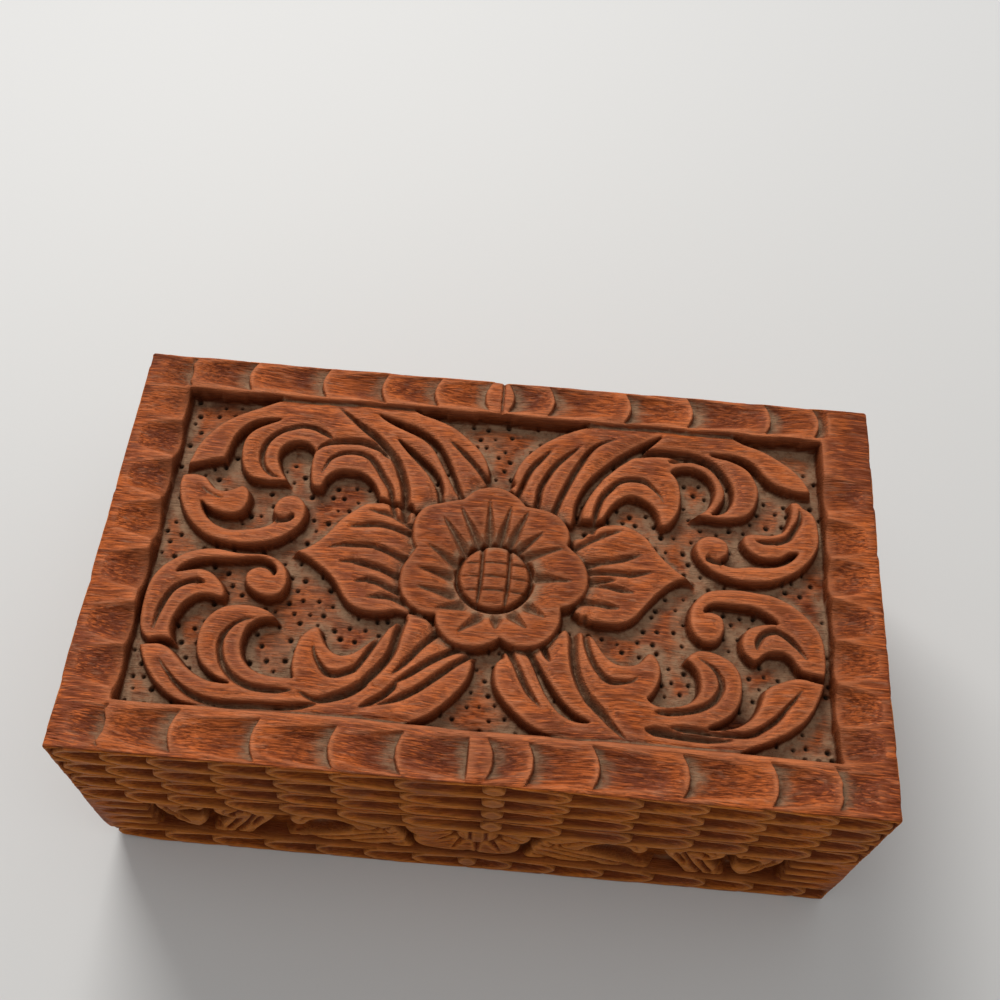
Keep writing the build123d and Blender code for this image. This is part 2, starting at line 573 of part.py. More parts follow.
def back_bevel(up):
    """The waste behind the hinge axis on the lid (up 1) or the body (up -1)."""
    half_angle = math.radians(opening_angle / 2)
    clear = seam_gap / 2
    start = -clear * (1 / math.cos(half_angle) - 1) / math.tan(half_angle)
    reach = hinge_inset + 1
    far = reach * math.tan(half_angle) + clear / math.cos(half_angle)
    corners = [(start, -clear), (start, clear), (reach, far), (reach, -clear)]
    face = make_face(Polyline(*[(y, up * z) for y, z in corners], close=True))
    plane = Plane(origin=(-half_length - 1, hinge_y, hinge_z), x_dir=(0, 1, 0), z_dir=(1, 0, 0))
    return plane * extrude(face, box_length + 2)


def leaf_seat(centre_x, up):
    """The shallow mortise for a leaf and the trough for the knuckles."""
    half = hinge_length / 2 + leaf_clearance
    near = seam_gap / 2
    depth = (up * (near - 1), up * (near + leaf_thickness))
    mortise = block(
        (centre_x - half, centre_x + half),
        (hinge_y - leaf_width - leaf_clearance, hinge_y + hinge_inset),
        sorted(hinge_z + z for z in depth),
    )
    start = (centre_x - half, hinge_y, hinge_z)
    trough = rod(start, (1, 0, 0), knuckle_radius + turning_clearance, 2 * half)
    return mortise + trough


def screw_places(centre_x):
    """The two screws of a leaf."""
    return [(centre_x + side * screw_spacing / 2, hinge_y - screw_setback) for side in (-1, 1)]


def screw(x, y, up, extra=0.0):
    """A countersunk screw through a leaf, or its hole."""
    face_z = hinge_z + up * seam_gap / 2
    shank = rod((x, y, face_z), (0, 0, up), screw_radius + extra, screw_length + extra)
    plane = Plane(origin=(x, y, face_z), z_dir=(0, 0, up))
    slope = (screw_head_radius - screw_radius) / screw_head_height
    head = Cone(
        screw_head_radius + extra,
        screw_head_radius + extra - slope * screw_head_height,
        screw_head_height,
        align=(Align.CENTER, Align.CENTER, Align.MIN),
    )
    return shank + plane * head


def screw_holes(up, extra):
    """The holes of all screws that go up into the lid or down into the body."""
    shapes = []
    for centre_x in hinge_centres().values():
        shapes += [screw(x, y, up, extra) for x, y in screw_places(centre_x)]
    return Compound(children=shapes)


def knuckles(centre_x, kept, grow=0.0):
    """The knuckles with an even (0) or odd (1) number from the left."""
    pitch = hinge_length / knuckle_count
    radius = knuckle_radius + (turning_clearance if grow else 0)
    inset = knuckle_end_gap / 2 - grow
    shapes = []
    for number in range(kept, knuckle_count, 2):
        start = centre_x - hinge_length / 2 + number * pitch + inset
        shapes.append(rod((start, hinge_y, hinge_z), (1, 0, 0), radius, pitch - 2 * inset))
    return shapes


def hinge_leaf(centre_x, up, kept):
    """A hinge leaf with its knuckles and countersunk screw holes."""
    near = seam_gap / 2
    half = hinge_length / 2 - knuckle_end_gap / 2
    plate = block(
        (centre_x - half, centre_x + half),
        (hinge_y - leaf_width, hinge_y),
        sorted((hinge_z + up * near, hinge_z + up * (near + leaf_thickness))),
    )
    for shape in knuckles(centre_x, 1 - kept, knuckle_end_gap / 2):
        plate = plate - shape
    leaf = plate
    for shape in knuckles(centre_x, kept):
        leaf = leaf + shape
    start = (centre_x - hinge_length, hinge_y, hinge_z)
    bore = rod(start, (1, 0, 0), pin_radius + pin_clearance, 2 * hinge_length)
    leaf = leaf - bore
    for x, y in screw_places(centre_x):
        leaf = leaf - screw(x, y, up, pin_clearance)
    return leaf


def hinge_pin(centre_x):
    """The pin through the knuckles."""
    start = (centre_x - hinge_length / 2 + knuckle_end_gap / 2, hinge_y, hinge_z)
    return rod(start, (1, 0, 0), pin_radius, hinge_length - knuckle_end_gap)


def hinge_cuts(up):
    """All that the hinges take out of the back rail or the back wall."""
    cuts = [back_bevel(up), screw_holes(up, dowel_clearance)]
    cuts += [leaf_seat(centre_x, up) for centre_x in hinge_centres().values()]
    return cuts


def lid_rails():
    """The four rails of the lid's rim."""
    middle = [(lid_bottom + rail_top) / 2]
    holes = [corner_dowels(middle, dowel_clearance, dowel_end_space), board_pin_holes()]
    rails = {
        "lid_front_rail": long_board(-1, lid_bottom, rail_top),
        "lid_back_rail": long_board(1, lid_bottom, rail_top),
        "lid_left_rail": end_board(-1, lid_bottom, rail_top),
        "lid_right_rail": end_board(1, lid_bottom, rail_top),
    }
    for name, rail in rails.items():
        cuts = holes + (hinge_cuts(1) if name == "lid_back_rail" else [])
        for cut in cuts:
            rail = rail - cut
        rails[name] = rail
    return rails


def body_walls():
    """The four carved walls of the body."""
    holes = [corner_dowels(body_dowel_heights, dowel_clearance, dowel_end_space)]
    holes += [bottom_recess(), nails(nail_clearance)]
    long_half = half_length - panel_end_margin
    end_half = half_depth - panel_end_margin
    front = Plane(origin=(0, -half_depth, 0), x_dir=(1, 0, 0), z_dir=(0, -1, 0))
    back = Plane(origin=(0, half_depth, 0), x_dir=(-1, 0, 0), z_dir=(0, 1, 0))
    left = Plane(origin=(-half_length, 0, 0), x_dir=(0, -1, 0), z_dir=(-1, 0, 0))
    right = Plane(origin=(half_length, 0, 0), x_dir=(0, 1, 0), z_dir=(1, 0, 0))
    end_squeeze = end_drawing_squeeze * box_depth / lid_drawing_depth
    end_squeeze = end_squeeze * wall_drawing_length / box_length
    long_front, long_back = long_board(-1, 0, body_height), long_board(1, 0, body_height)
    end_left, end_right = end_board(-1, 0, body_height), end_board(1, 0, body_height)
    walls = {
        "body_front_wall": carved_wall(long_front, front, long_half, wall_ornaments, 1),
        "body_back_wall": carved_wall(long_back, back, long_half, wall_ornaments, 1),
        "body_left_wall": carved_wall(end_left, left, end_half, end_ornaments, end_squeeze),
        "body_right_wall": carved_wall(end_right, right, end_half, end_ornaments, end_squeeze),
    }
    for name, wall in walls.items():
        cuts = holes + (hinge_cuts(-1) if name == "body_back_wall" else [])
        for cut in cuts:
            wall = wall - cut
        walls[name] = wall
    return walls


def bottom_board():
    """The bottom board in its rebate."""
    half_x = inner_length / 2 + bottom_overlap - board_clearance
    half_y = inner_depth / 2 + bottom_overlap - board_clearance
    return block((-half_x, half_x), (-half_y, half_y), (0, bottom_thickness)) - nails(nail_clearance)


def hinge_parts():
    """The leaves, pins and screws of both hinges."""
    parts = {}
    for side, centre_x in hinge_centres().items():
        parts[f"{side}_hinge_lid_leaf"] = hinge_leaf(centre_x, 1, 1)
        parts[f"{side}_hinge_body_leaf"] = hinge_leaf(centre_x, -1, 0)
        parts[f"{side}_hinge_pin"] = hinge_pin(centre_x)
    parts["hinge_lid_screws"] = screw_holes(1, 0.0)
    parts["hinge_body_screws"] = screw_holes(-1, 0.0)
    return parts


os.makedirs("parts", exist_ok=True)
nodes = {"lid_top_board": lid_top_board()}
nodes.update(lid_rails())
nodes["lid_corner_dowels"] = corner_dowels([(lid_bottom + rail_top) / 2])
nodes["lid_board_pins"] = board_pins()
nodes.update(body_walls())
nodes["body_corner_dowels"] = corner_dowels(body_dowel_heights)
nodes["body_bottom_board"] = bottom_board()
nodes["bottom_nails"] = nails()
nodes.update(hinge_parts())
for name, shape in nodes.items():
    export_step(shape, f"parts/{name}.step")
    print(name, len(shape.solids()), round(shape.volume))
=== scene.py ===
import math

import bpy
import numpy as np
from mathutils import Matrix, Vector


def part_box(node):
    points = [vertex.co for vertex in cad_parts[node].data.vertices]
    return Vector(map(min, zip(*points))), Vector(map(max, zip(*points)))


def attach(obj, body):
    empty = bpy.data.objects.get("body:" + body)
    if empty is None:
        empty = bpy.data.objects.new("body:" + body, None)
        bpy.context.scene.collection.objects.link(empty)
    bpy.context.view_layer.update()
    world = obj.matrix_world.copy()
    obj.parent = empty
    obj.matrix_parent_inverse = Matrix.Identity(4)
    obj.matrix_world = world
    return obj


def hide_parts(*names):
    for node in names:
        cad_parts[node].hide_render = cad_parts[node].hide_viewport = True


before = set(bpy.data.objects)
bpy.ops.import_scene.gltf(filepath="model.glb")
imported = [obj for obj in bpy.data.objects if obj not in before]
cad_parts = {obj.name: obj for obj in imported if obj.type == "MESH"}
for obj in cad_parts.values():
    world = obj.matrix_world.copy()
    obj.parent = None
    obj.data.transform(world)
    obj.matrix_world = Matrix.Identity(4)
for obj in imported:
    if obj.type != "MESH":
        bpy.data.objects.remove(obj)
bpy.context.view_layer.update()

# Sizes below are in millimetres, in the frame of the CAD: X along the box, -Y the front, +Z up.
MM = 0.001


def corners(node):
    """The lowest and highest corner of a CAD node, in millimetres."""
    low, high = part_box(node)
    return np.array(low) / MM, np.array(high) / MM


board_low, board_high = corners("lid_top_board")
rail_low, rail_high = corners("lid_back_rail")
wall_low, wall_high = corners("body_back_wall")
half_length, half_depth, box_top = board_high
body_top = wall_high[2]
wall_thickness = wall_high[1] - wall_low[1]

# Sunk field of the lid and sunk panels of the walls
lid_field = (-87.0, 87.0, -44.5, 47.0)
lid_floor = 5.5
panel_end_margin = 16.0
panel_low, panel_high = 11.5, 35.5
panel_floor = 5.0
ornament_drop = 1.0
flower_centre = (1.0, -2.2)
ring_radius, ring_depth = 9.9, 4.4

# Grid pitches and worn edges
sheet_pitch = 0.2
lid_pitch = 0.3
wall_pitch = 0.36
arris_radius = 0.9
joint_radius = 0.5
fade_depth = 6.0
root_reach = 36.0

# Triangles that each board is reduced to
board_triangles = 198000
rail_triangles, wall_triangles = 80000, 170000
end_rail_triangles, end_wall_triangles = 40000, 90000

# Hinge seats in the seam
hinge_inset = 2.4
leaf_clearance = 0.15
turning_clearance = 0.3
opening_half_angle = math.radians(50)
bottom_board_clearance = 0.15


# Small tools for smooth fields
def unit(t):
    """The value, kept between 0 and 1."""
    return np.clip(t, 0, 1)


def smooth(t):
    """A soft step from 0 to 1."""
    t = unit(t)
    return t * t * (3 - 2 * t)


def between(grid, i, j, share_i, share_j):
    """A grid's value between four neighbours. The grid repeats."""
    rows, columns = grid.shape
    i, next_i, j, next_j = i % rows, (i + 1) % rows, j % columns, (j + 1) % columns
    low = grid[i, j] * (1 - share_i) + grid[next_i, j] * share_i
    high = grid[i, next_j] * (1 - share_i) + grid[next_i, next_j] * share_i
    return low * (1 - share_j) + high * share_j


def noise(u, v, cell_u, cell_v, seed):
    """Smooth noise between -1 and 1 with the given cell size."""
    lattice = np.random.default_rng(seed).uniform(-1, 1, (256, 256))
    x, y = u / cell_u + 80.3, v / cell_v + 80.7
    i, j = np.floor(x).astype(int), np.floor(y).astype(int)
    return between(lattice, i, j, smooth(x - i), smooth(y - j))


def curve_through(points, steps=7):
    """A smooth line through a stroke's points."""
    p = np.array(points, float)
    p = np.vstack([2 * p[0] - p[1], p, 2 * p[-1] - p[-2]])
    t = (np.arange(steps) / steps)[:, None]
    parts = []
    for a, b, c, d in zip(p, p[1:], p[2:], p[3:]):
        bend = (2 * a - 5 * b + 4 * c - d) * t**2 + (3 * b - a - 3 * c + d) * t**3
        parts.append(0.5 * (2 * b + (c - a) * t + bend))
    return np.vstack(parts + [p[-2:-1]])


def blurred(field, sigma):
    """The field softened over sigma cells."""
    reach = int(3 * sigma) + 1
    kernel = np.exp(-0.5 * (np.arange(-reach, reach + 1) / sigma) ** 2)
    kernel /= kernel.sum()
    for axis in (0, 1):
        pad = [(reach, reach) if a == axis else (0, 0) for a in (0, 1)]
        wide = np.pad(field, pad, mode="edge")
        size = field.shape[axis]
        parts = [np.take(wide, np.arange(k, k + size), axis=axis) * w for k, w in enumerate(kernel)]
        field = sum(parts)
    return field


class Sheet:
    """One outer face of the box as a grid of depths below the uncarved surface."""

    def __init__(self, low, high):
        self.low = np.array(low, float)
        counts = [int(round((h - l) / sheet_pitch)) + 1 for l, h in zip(low, high)]
        axes = [l + np.arange(n) * sheet_pitch for l, n in zip(low, counts)]
        self.u, self.v = np.meshgrid(*axes, indexing="ij")
        self.cut, self.dots, self.dust, self.cut_dust, self.dark = np.zeros((5, *self.u.shape))
        self.layers = {}

    def window(self, line, margin):
        """The part of the grid around a line."""
        low = np.floor((line.min(0) - margin - self.low) / sheet_pitch).astype(int)
        high = np.ceil((line.max(0) + margin - self.low) / sheet_pitch).astype(int) + 1
        low = np.maximum(low, 0)
        return slice(low[0], max(high[0], 0)), slice(low[1], max(high[1], 0))

    def groove(self, points, width=1.1, deep=1.7, shoulder=3.0, sink=0.55, root=None):
        """A V cut along a stroke, given as x and y in turn. It runs out, except near the root."""
        points = list(zip(points[::2], points[1::2]))
        if root and math.dist(points[0], root) < math.dist(points[-1], root):
            points = points[::-1]
        if root and math.dist(points[-1], root) < root_reach:
            (x0, y0), (x1, y1) = points[-2:]
            step = 4.5 / math.dist(points[-1], points[-2])
            points = points + [(x1 + (x1 - x0) * step, y1 + (y1 - y0) * step)]
        line = curve_through(points)
        part = self.window(line, shoulder)
        u, v = self.u[part], self.v[part]
        if not u.size:
            return
        gap, along, _ = nearest(u, v, line)
        cumulated = np.concatenate([[0], np.cumsum(np.hypot(*np.diff(line, axis=0).T))])
        foot_u, foot_v = [np.interp(along * cumulated[-1], cumulated, values) for values in line.T]
        centre = root or (0, 0)
        farther = np.hypot(u - centre[0], v - centre[1]) > np.hypot(foot_u - centre[0], foot_v - centre[1])
        run_out = along / 0.3
        if not root or math.dist(points[-1], root) > root_reach:
            run_out = np.minimum(run_out, (1 - along) / 0.12)
        taper = np.clip(run_out, 0.02, 1) ** 0.6
        cut = deep * taper * unit(1 - gap / (width * taper))
        slope = np.where(farther, sink, sink * 0.35)
        cut = cut + slope * taper * unit(1 - gap / shoulder) ** 1.3
        self.cut[part] = np.maximum(self.cut[part], cut)

    def finish(self, depth, is_side):
        """Stores the depths and what the wood's colour follows: painted shade in hollows and on steep
        walls, dust, wear with a painted highlight on ridges, and which faces are sides, which get painted
        warm bounce light.
        """
        depth = blurred(depth, 0.55)
        fine, broad = depth - blurred(depth, 3.5), depth - blurred(depth, 12.0)
        slope = np.hypot(*np.gradient(depth, sheet_pitch))
        # Painted shade: steep walls are darkened.
        steep = unit((slope - 0.6) / 2.0)
        # Painted shade: points lower than their surroundings, in fine cuts and broad hollows, are
        # darkened.
        hollow = unit(np.maximum(fine / 0.5, broad / 1.5))
        in_cuts = 0 if is_side else smooth((hollow - 0.35) / 0.5)
        broad_ridge, most_wear_and_highlight = (1.6, 0.9) if is_side else (4.0, 1)
        self.layers = {
            "depth": depth,
            "dark": np.maximum(hollow, self.dark),
            "dust": np.maximum(np.maximum(in_cuts, self.dust) * (1 - steep), self.cut_dust),
            # Ridges higher than their surroundings are lightened: wear, and a painted highlight.
            "wear_and_highlight": np.clip(np.maximum(-fine / 0.25, -broad / broad_ridge), 0, most_wear_and_highlight),
            "steep": blurred(steep, 1.5),
            "dot": self.dots,
            # The side faces are later given warmer tones: painted warm bounce light.
            "side": np.full_like(depth, float(is_side)),
        }

    def sample(self, layer, u, v):
        """A layer's value at any points."""
        grid = self.layers[layer]
        x = np.clip((u - self.low[0]) / sheet_pitch, 0, grid.shape[0] - 1.001)
        y = np.clip((v - self.low[1]) / sheet_pitch, 0, grid.shape[1] - 1.001)
        i, j = x.astype(int), y.astype(int)
        return between(grid, i, j, x - i, y - j)


def nearest(u, v, line):
    """Distance to a line, the share along it, and whether the closed line holds the point."""
    best = np.full(u.shape, 1e9)
    along = np.zeros(u.shape)
    inside = np.zeros(u.shape, bool)
    lengths = np.hypot(*np.diff(line, axis=0).T)
    total, gone = max(lengths.sum(), 1e-9), 0.0
    for (ax, ay), (bx, by), size in zip(line, line[1:], lengths):
        if size < 1e-9:
            continue
        t = unit(((u - ax) * (bx - ax) + (v - ay) * (by - ay)) / size**2)
        gap = np.hypot(u - ax - t * (bx - ax), v - ay - t * (by - ay))
        closer = gap < best
        best[closer] = gap[closer]
        along[closer] = (gone + t[closer] * size) / total
        if ay != by:
            inside ^= ((ay > v) != (by > v)) & (u < (bx - ax) * (v - ay) / (by - ay) + ax)
        gone += size
    return best, along, inside


def holds(line, point):
    """Whether a closed line holds a point."""
    return nearest(*np.array([point], float).T, line)[2][0]


def outlines(node, axis, level):
    """The outer outlines of a node's flat tops at one level, read from the CAD mesh."""
    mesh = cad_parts[node].data
    points = np.empty(len(mesh.vertices) * 3, np.float32)
    mesh.vertices.foreach_get("co", points)
    points = np.round(points.reshape(-1, 3).astype(float) / MM, 3)
    points, ids = np.unique(points, axis=0, return_inverse=True)
    ids = ids.ravel()
    flat = np.abs(points[:, axis] - level) < 0.02
    across = [a for a in range(3) if a != axis]
    follow = {}
    edges = set()
    for polygon in mesh.polygons:
        loop = [int(ids[i]) for i in polygon.vertices]
        if all(flat[i] for i in loop):
            edges.update(zip(loop, loop[1:] + loop[:1]))
    for a, b in edges:
        if (b, a) not in edges:
            follow.setdefault(a, []).append(b)
    found = []
    while follow:
        chain = [next(iter(follow))]
        while chain[-1] in follow:
            here = chain[-1]
            chain.append(follow[here].pop())
            if not follow[here]:
                del follow[here]
            if chain[-1] == chain[0]:
                break
        line = points[chain][:, across]
        kept = [line[0]]
        for point in line[1:-1]:
            if np.hypot(*(point - kept[-1])) > 0.25:
                kept.append(point)
        kept.append(line[0])
        if len(kept) > 8:
            found.append(np.array(kept))
    return [a for a in found if not any(holds(b, a[0]) for b in found if b is not a)]


def signed_gap(sheet, lines, reach=9.0):
    """How far inside (positive) or outside (negative) the outlines each point of a sheet is."""
    best = np.full(sheet.u.shape, -reach)
    for line in lines:
        part = sheet.window(line, reach)
        gap, _, inside = nearest(sheet.u[part], sheet.v[part], line)
        best[part] = np.maximum(best[part], np.where(inside, gap, -gap))
    return best


# Gouge work of the borders and sides
def scale_row(u, v, half, edges, lens, bulge, deep, seed, tip=0.4, square=False):
    """A row of overlapping scales that point away from a lens, and the dust in their deep ends.

    Each scale is high at its tip and is scooped ever deeper towards the next one."""
    left, right = lens
    is_left = u < (left + right) / 2
    bow = bulge * (v / half) ** 2
    if square:
        bow = bow * np.where(is_left, unit((left - u) / 6), 1)
    bent = np.where(is_left, u - bow, u + bow)
    rng = np.random.default_rng(seed)
    marks = np.array(sorted(edges))
    marks = marks + rng.uniform(-0.6, 0.6, len(marks))
    marks = np.sort(np.concatenate([[-150.0], marks, [left, right, 150.0]]))
    cell = np.clip(np.searchsorted(marks, bent) - 1, 0, len(marks) - 2)
    low, high = marks[cell], marks[cell + 1]
    share = np.where(is_left, bent - low, high - bent) / (high - low)
    span = np.clip(high - low, 0, 20)
    share = np.where(high - low > 40, 1 - np.where(is_left, high - bent, bent - low) / 16, share)
    share = unit(share)
    depths = deep * rng.uniform(0.85, 1.12, len(marks))[cell] * np.clip(span / 11, 0.55, 1)
    offsets = rng.uniform(-0.06, 0.06, len(marks))[cell] * half
    reach = 0.93 * half * (tip + (1 - tip) * np.sqrt(share))
    hollow = unit(1 - ((v - offsets) / reach) ** 2) ** 0.7
    rise = unit((share - 0.05) / 0.95) ** 0.75
    tooling = 1 + 0.07 * noise(u, v, 9, 0.55, seed + 500)
    in_lens = (bent > left) & (bent < right)
    face = 0.25 - 0.2 * unit(1 - (v / half) ** 2)
    depth = np.where(in_lens, face, depths * rise * hollow * tooling)
    dusty = smooth((share * span - span + 3.0 + 1.2 * noise(u, v, 4, 3, seed + 600)) / 1.1)
    return depth, np.where(in_lens, 0, dusty * smooth((depth - 0.5) / 0.6))


def edge_scoops(inward, along, centres, reach, deep, half):
    """Scoops square to an edge: deep and wide at the field, running out in a rounded tip."""
    share = np.clip(inward / reach, 0, 1.2)
    width = half * (0.45 + 0.55 * np.sqrt(share))
    total = np.zeros_like(inward)
    for centre, strength in centres:
        round_floor = unit(1 - ((along - centre) / width) ** 2) ** 0.8
        total = np.maximum(total, deep * strength * share**0.8 * round_floor)
    return np.where(inward > 0, total, 0)


def punched(sheet, area, seed):
    """Small round punch marks, scattered over a floor."""
    rng = np.random.default_rng(seed)
    low_u, high_u, low_v, high_v = area
    pit = np.zeros_like(sheet.u)
    for row, v in enumerate(np.arange(low_v + 1.5, high_v, 3.4)):
        for u in np.arange(low_u + 1.5 + (row % 2) * 2.0, high_u, 4.1):
            if rng.random() < 0.18 or noise(np.array(u), np.array(v), 17, 13, 194) < -0.4:
                continue
            centre = np.array([[u, v]]) + rng.uniform(-0.9, 0.9, (1, 2))
            size = rng.uniform(0.34, 0.66)
            part = sheet.window(centre, 1.2)
            gap = np.hypot(sheet.u[part] - centre[0, 0], sheet.v[part] - centre[0, 1])
            pit[part] = np.maximum(pit[part], smooth((size + 0.2 - gap) / 0.4))
    return pit


# Strokes of the lid: the cuts between the strands of each leaf, as x and y in turn on the lid's top
# Sizes: half width and depth of the cut, then width and depth of its shoulders
deep_size, vein_size, petal_size = (1.35, 3.0, 4.0, 1.3), (1.0, 2.1, 3.2, 1.1), (1.15, 1.7, 3.0, 0.9)
notch_width, notch_depth = 1.6, 2.6
deep_strokes = [
    (-46, 45.5, -42, 42.5, -38, 39.5, -34.5, 37, -31, 33.5, -28, 30, -26, 25.5, -24.5, 21, -24, 17),
    (-44, -38, -39, -39.8, -34.5, -38.5, -30, -36, -25.5, -31, -22.5, -26, -21.5, -21),
    (43, 44.5, 40, 42.5, 36.5, 39.5, 32.5, 36.5, 28.5, 32.5, 25.5, 29, 23, 24.5, 21.5, 20, 21.3, 16.5),
    (34, 37, 40, 39.2, 47, 39.5, 53, 38.8, 57, 37, 59.5, 34, 61.5, 28.5, 61, 25.5, 59, 22.8, 57, 21.5),
    (22, -18, 22.3, -23, 23.5, -28, 25.8, -32.5, 29.5, -36.5, 32.5, -40, 36, -43.3),
    (-50, 30.5, -48.5, 32.5, -46, 34, -43, 34.8, -40, 35, -37, 34.8, -32, 33, -29.5, 30),
    (40, -40, 50, -40.8, 62, -41),
]
vein_strokes = [
    (-47.5, 23, -46.5, 26, -45.5, 28.5, -43, 30.5, -40, 31.3, -36.5, 30.8, -33.5, 28.5, -30.5, 24,
     -28.5, 21, -27.5, 17.5),
    (-45, 34.5, -48, 36.5, -51, 38, -54, 38.3, -57, 37.5, -60, 36, -62.5, 33.5, -63.8, 30.5, -63.8, 27,
     -62.5, 24, -60, 22, -56.5, 21),
    (-14.7, 38, -10, 34, -4, 27.3),
    (-34, 44, -27.3, 41.3, -19.3, 37.3, -14, 29.3, -10, 21.3),
    (-28, 36.5, -24.5, 34, -20.7, 30, -16.7, 25.3, -14.7, 18.7),
    (-58, 10.6, -56.4, 8.8, -54, 8.9, -52.4, 10.6),
    (-71, -11.3, -73.5, -10.8, -76.5, -11.8, -79, -14, -80.5, -17.5, -81.3, -21.5, -81.5, -26),
    (-56.5, -19.8, -59.5, -20.5, -62.5, -22.5, -64.3, -26, -64, -29.5, -62.5, -33, -59.5, -36, -55, -38,
     -49.5, -38.3, -44.5, -38),
    (-79, -32, -76.5, -35, -73, -38.5, -69.5, -40.8, -65, -42.3, -59.5, -42.8, -53, -42.5, -47, -42.3,
     -41.5, -41.5, -37, -40.3),
    (-41.8, -25, -41, -28, -39.5, -30.5, -37.5, -32.5, -35, -32.8, -32.5, -31.8, -30.5, -30.5, -29, -28,
     -27, -24),
    (-10, -25.3, -15, -29, -22, -34.7),
    (-6, -26.7, -16.7, -36, -27.3, -40.7),
    (-14.7, -22.7, -22, -32),
    (-20, -33.5, -23, -37, -26.5, -39.5, -28.8, -41),
    (44, 23, 43, 25.5, 41, 28, 38.5, 29.8, 35, 30, 32, 29, 29.5, 26.5, 27.5, 23.5, 26.3, 19.5,
     26, 17.5),
    (45, 36.5, 48, 37.5, 51.5, 37.8, 55, 37, 58, 35),
    (14, 38, 8.7, 31.3, 6.3, 25.3),
    (22, 40, 15.3, 33.3, 11.3, 25.3, 10.7, 21.3),
    (31.5, 42.8, 26, 40.3, 22.5, 36, 18.7, 28, 15.3, 18.7),
    (80, 25.5, 80, 22, 78.5, 19, 76.5, 16, 72.5, 14.5, 68, 14.3),
    (55, 8.3, 58, 7.3, 60.5, 8.5),
    (67.5, -17, 68, -14.5, 69.5, -12.3, 72, -11.3, 74.5, -12.3, 77, -14.5, 79, -17, 80, -19),
    (52.5, -20.3, 55, -21.5, 57.5, -23.5, 58.8, -26.5, 58, -29.5, 56, -32, 52, -34, 47, -35, 42, -35.5),
    (38.8, -26.3, 37, -27.8, 34.5, -28.4, 31.5, -28.3, 29, -26.5, 26.8, -23, 25.3, -19, 25, -16.5),
    (79, -26, 77, -28.5, 74.5, -31.5, 72, -34.5, 69, -37, 65.5, -39, 60, -39.5, 54, -39.3, 45, -39),
    (8, -25.3, 11.3, -32, 15.3, -37.3),
    (12, -23.3, 16.7, -32, 21.3, -37.3, 26.7, -39.3),
    (15.3, -22, 16.5, -25),
]
petal_strokes = [
    (-33.5, 13.8, -28, 13.2, -23.5, 11.3),
    (-38.3, 8.1, -30.8, 9.7, -23.8, 8.6),
    (-42.7, 1.4, -37.8, 3, -30.2, 3.2, -23.8, 1.1),
    (-39.4, -2.4, -35.1, -1.6, -30.2, -2.4, -24.8, -4),
    (-34.6, -7.6, -30.2, -6.5, -24.8, -8.1),
    (-30.8, -11.6, -25.4, -10.5, -21.6, -11.3),
    (23.5, 9.5, 29, 12.5, 33.8, 14),
    (25.9, 3.8, 32.4, 5.4, 39.1, 7.6),
    (28, 1.4, 35, 1.4, 42, 2.7),
    (27, -1, 32.4, -0.5),
    (29, -2.4, 37.3, -4),
    (27, -7.6, 33.5, -8.6),
]
# Notches of the flower: x and y of the wide start and of the end
flower_notches = [
    (-0.8, 6.5, -1.9, 19.7), (1.6, 6.5, 4, 18.6), (4, 6.2, 8.6, 17.3), (5.9, 5.4, 13, 11.3),
    (7.6, 3.8, 18.9, 7.3), (11.6, -1.6, 21, -2.4), (10.3, -10.3, 14.8, -13.2), (6.5, -13, 10.3, -16.7),
    (2.4, -14.6, 2.4, -17.5), (-2.2, -14.6, -7, -19.2), (-6.5, -11.3, -13.2, -13),
    (-9.5, -8.6, -18.4, -7.3), (-10.3, -3.2, -18.9, -1.9), (-9.2, 0.5, -16.7, 4.9),
    (-7, 4.3, -13.5, 13.5), (-3.2, 5.9, -9.2, 16.7),
]


def notch(sheet, start, end, width, deep):
    """A wedge cut that is wide at its start and runs out at its end."""
    line = np.array([start, end], float)
    part = sheet.window(line, width + 1)
    gap, along, _ = nearest(sheet.u[part], sheet.v[part], line)
    reach = width * (1 - along) ** 0.8 + 0.25
    cut = deep * (1 - along) ** 0.5 * unit(1 - gap / reach)
    sheet.cut[part] = np.maximum(sheet.cut[part], cut)


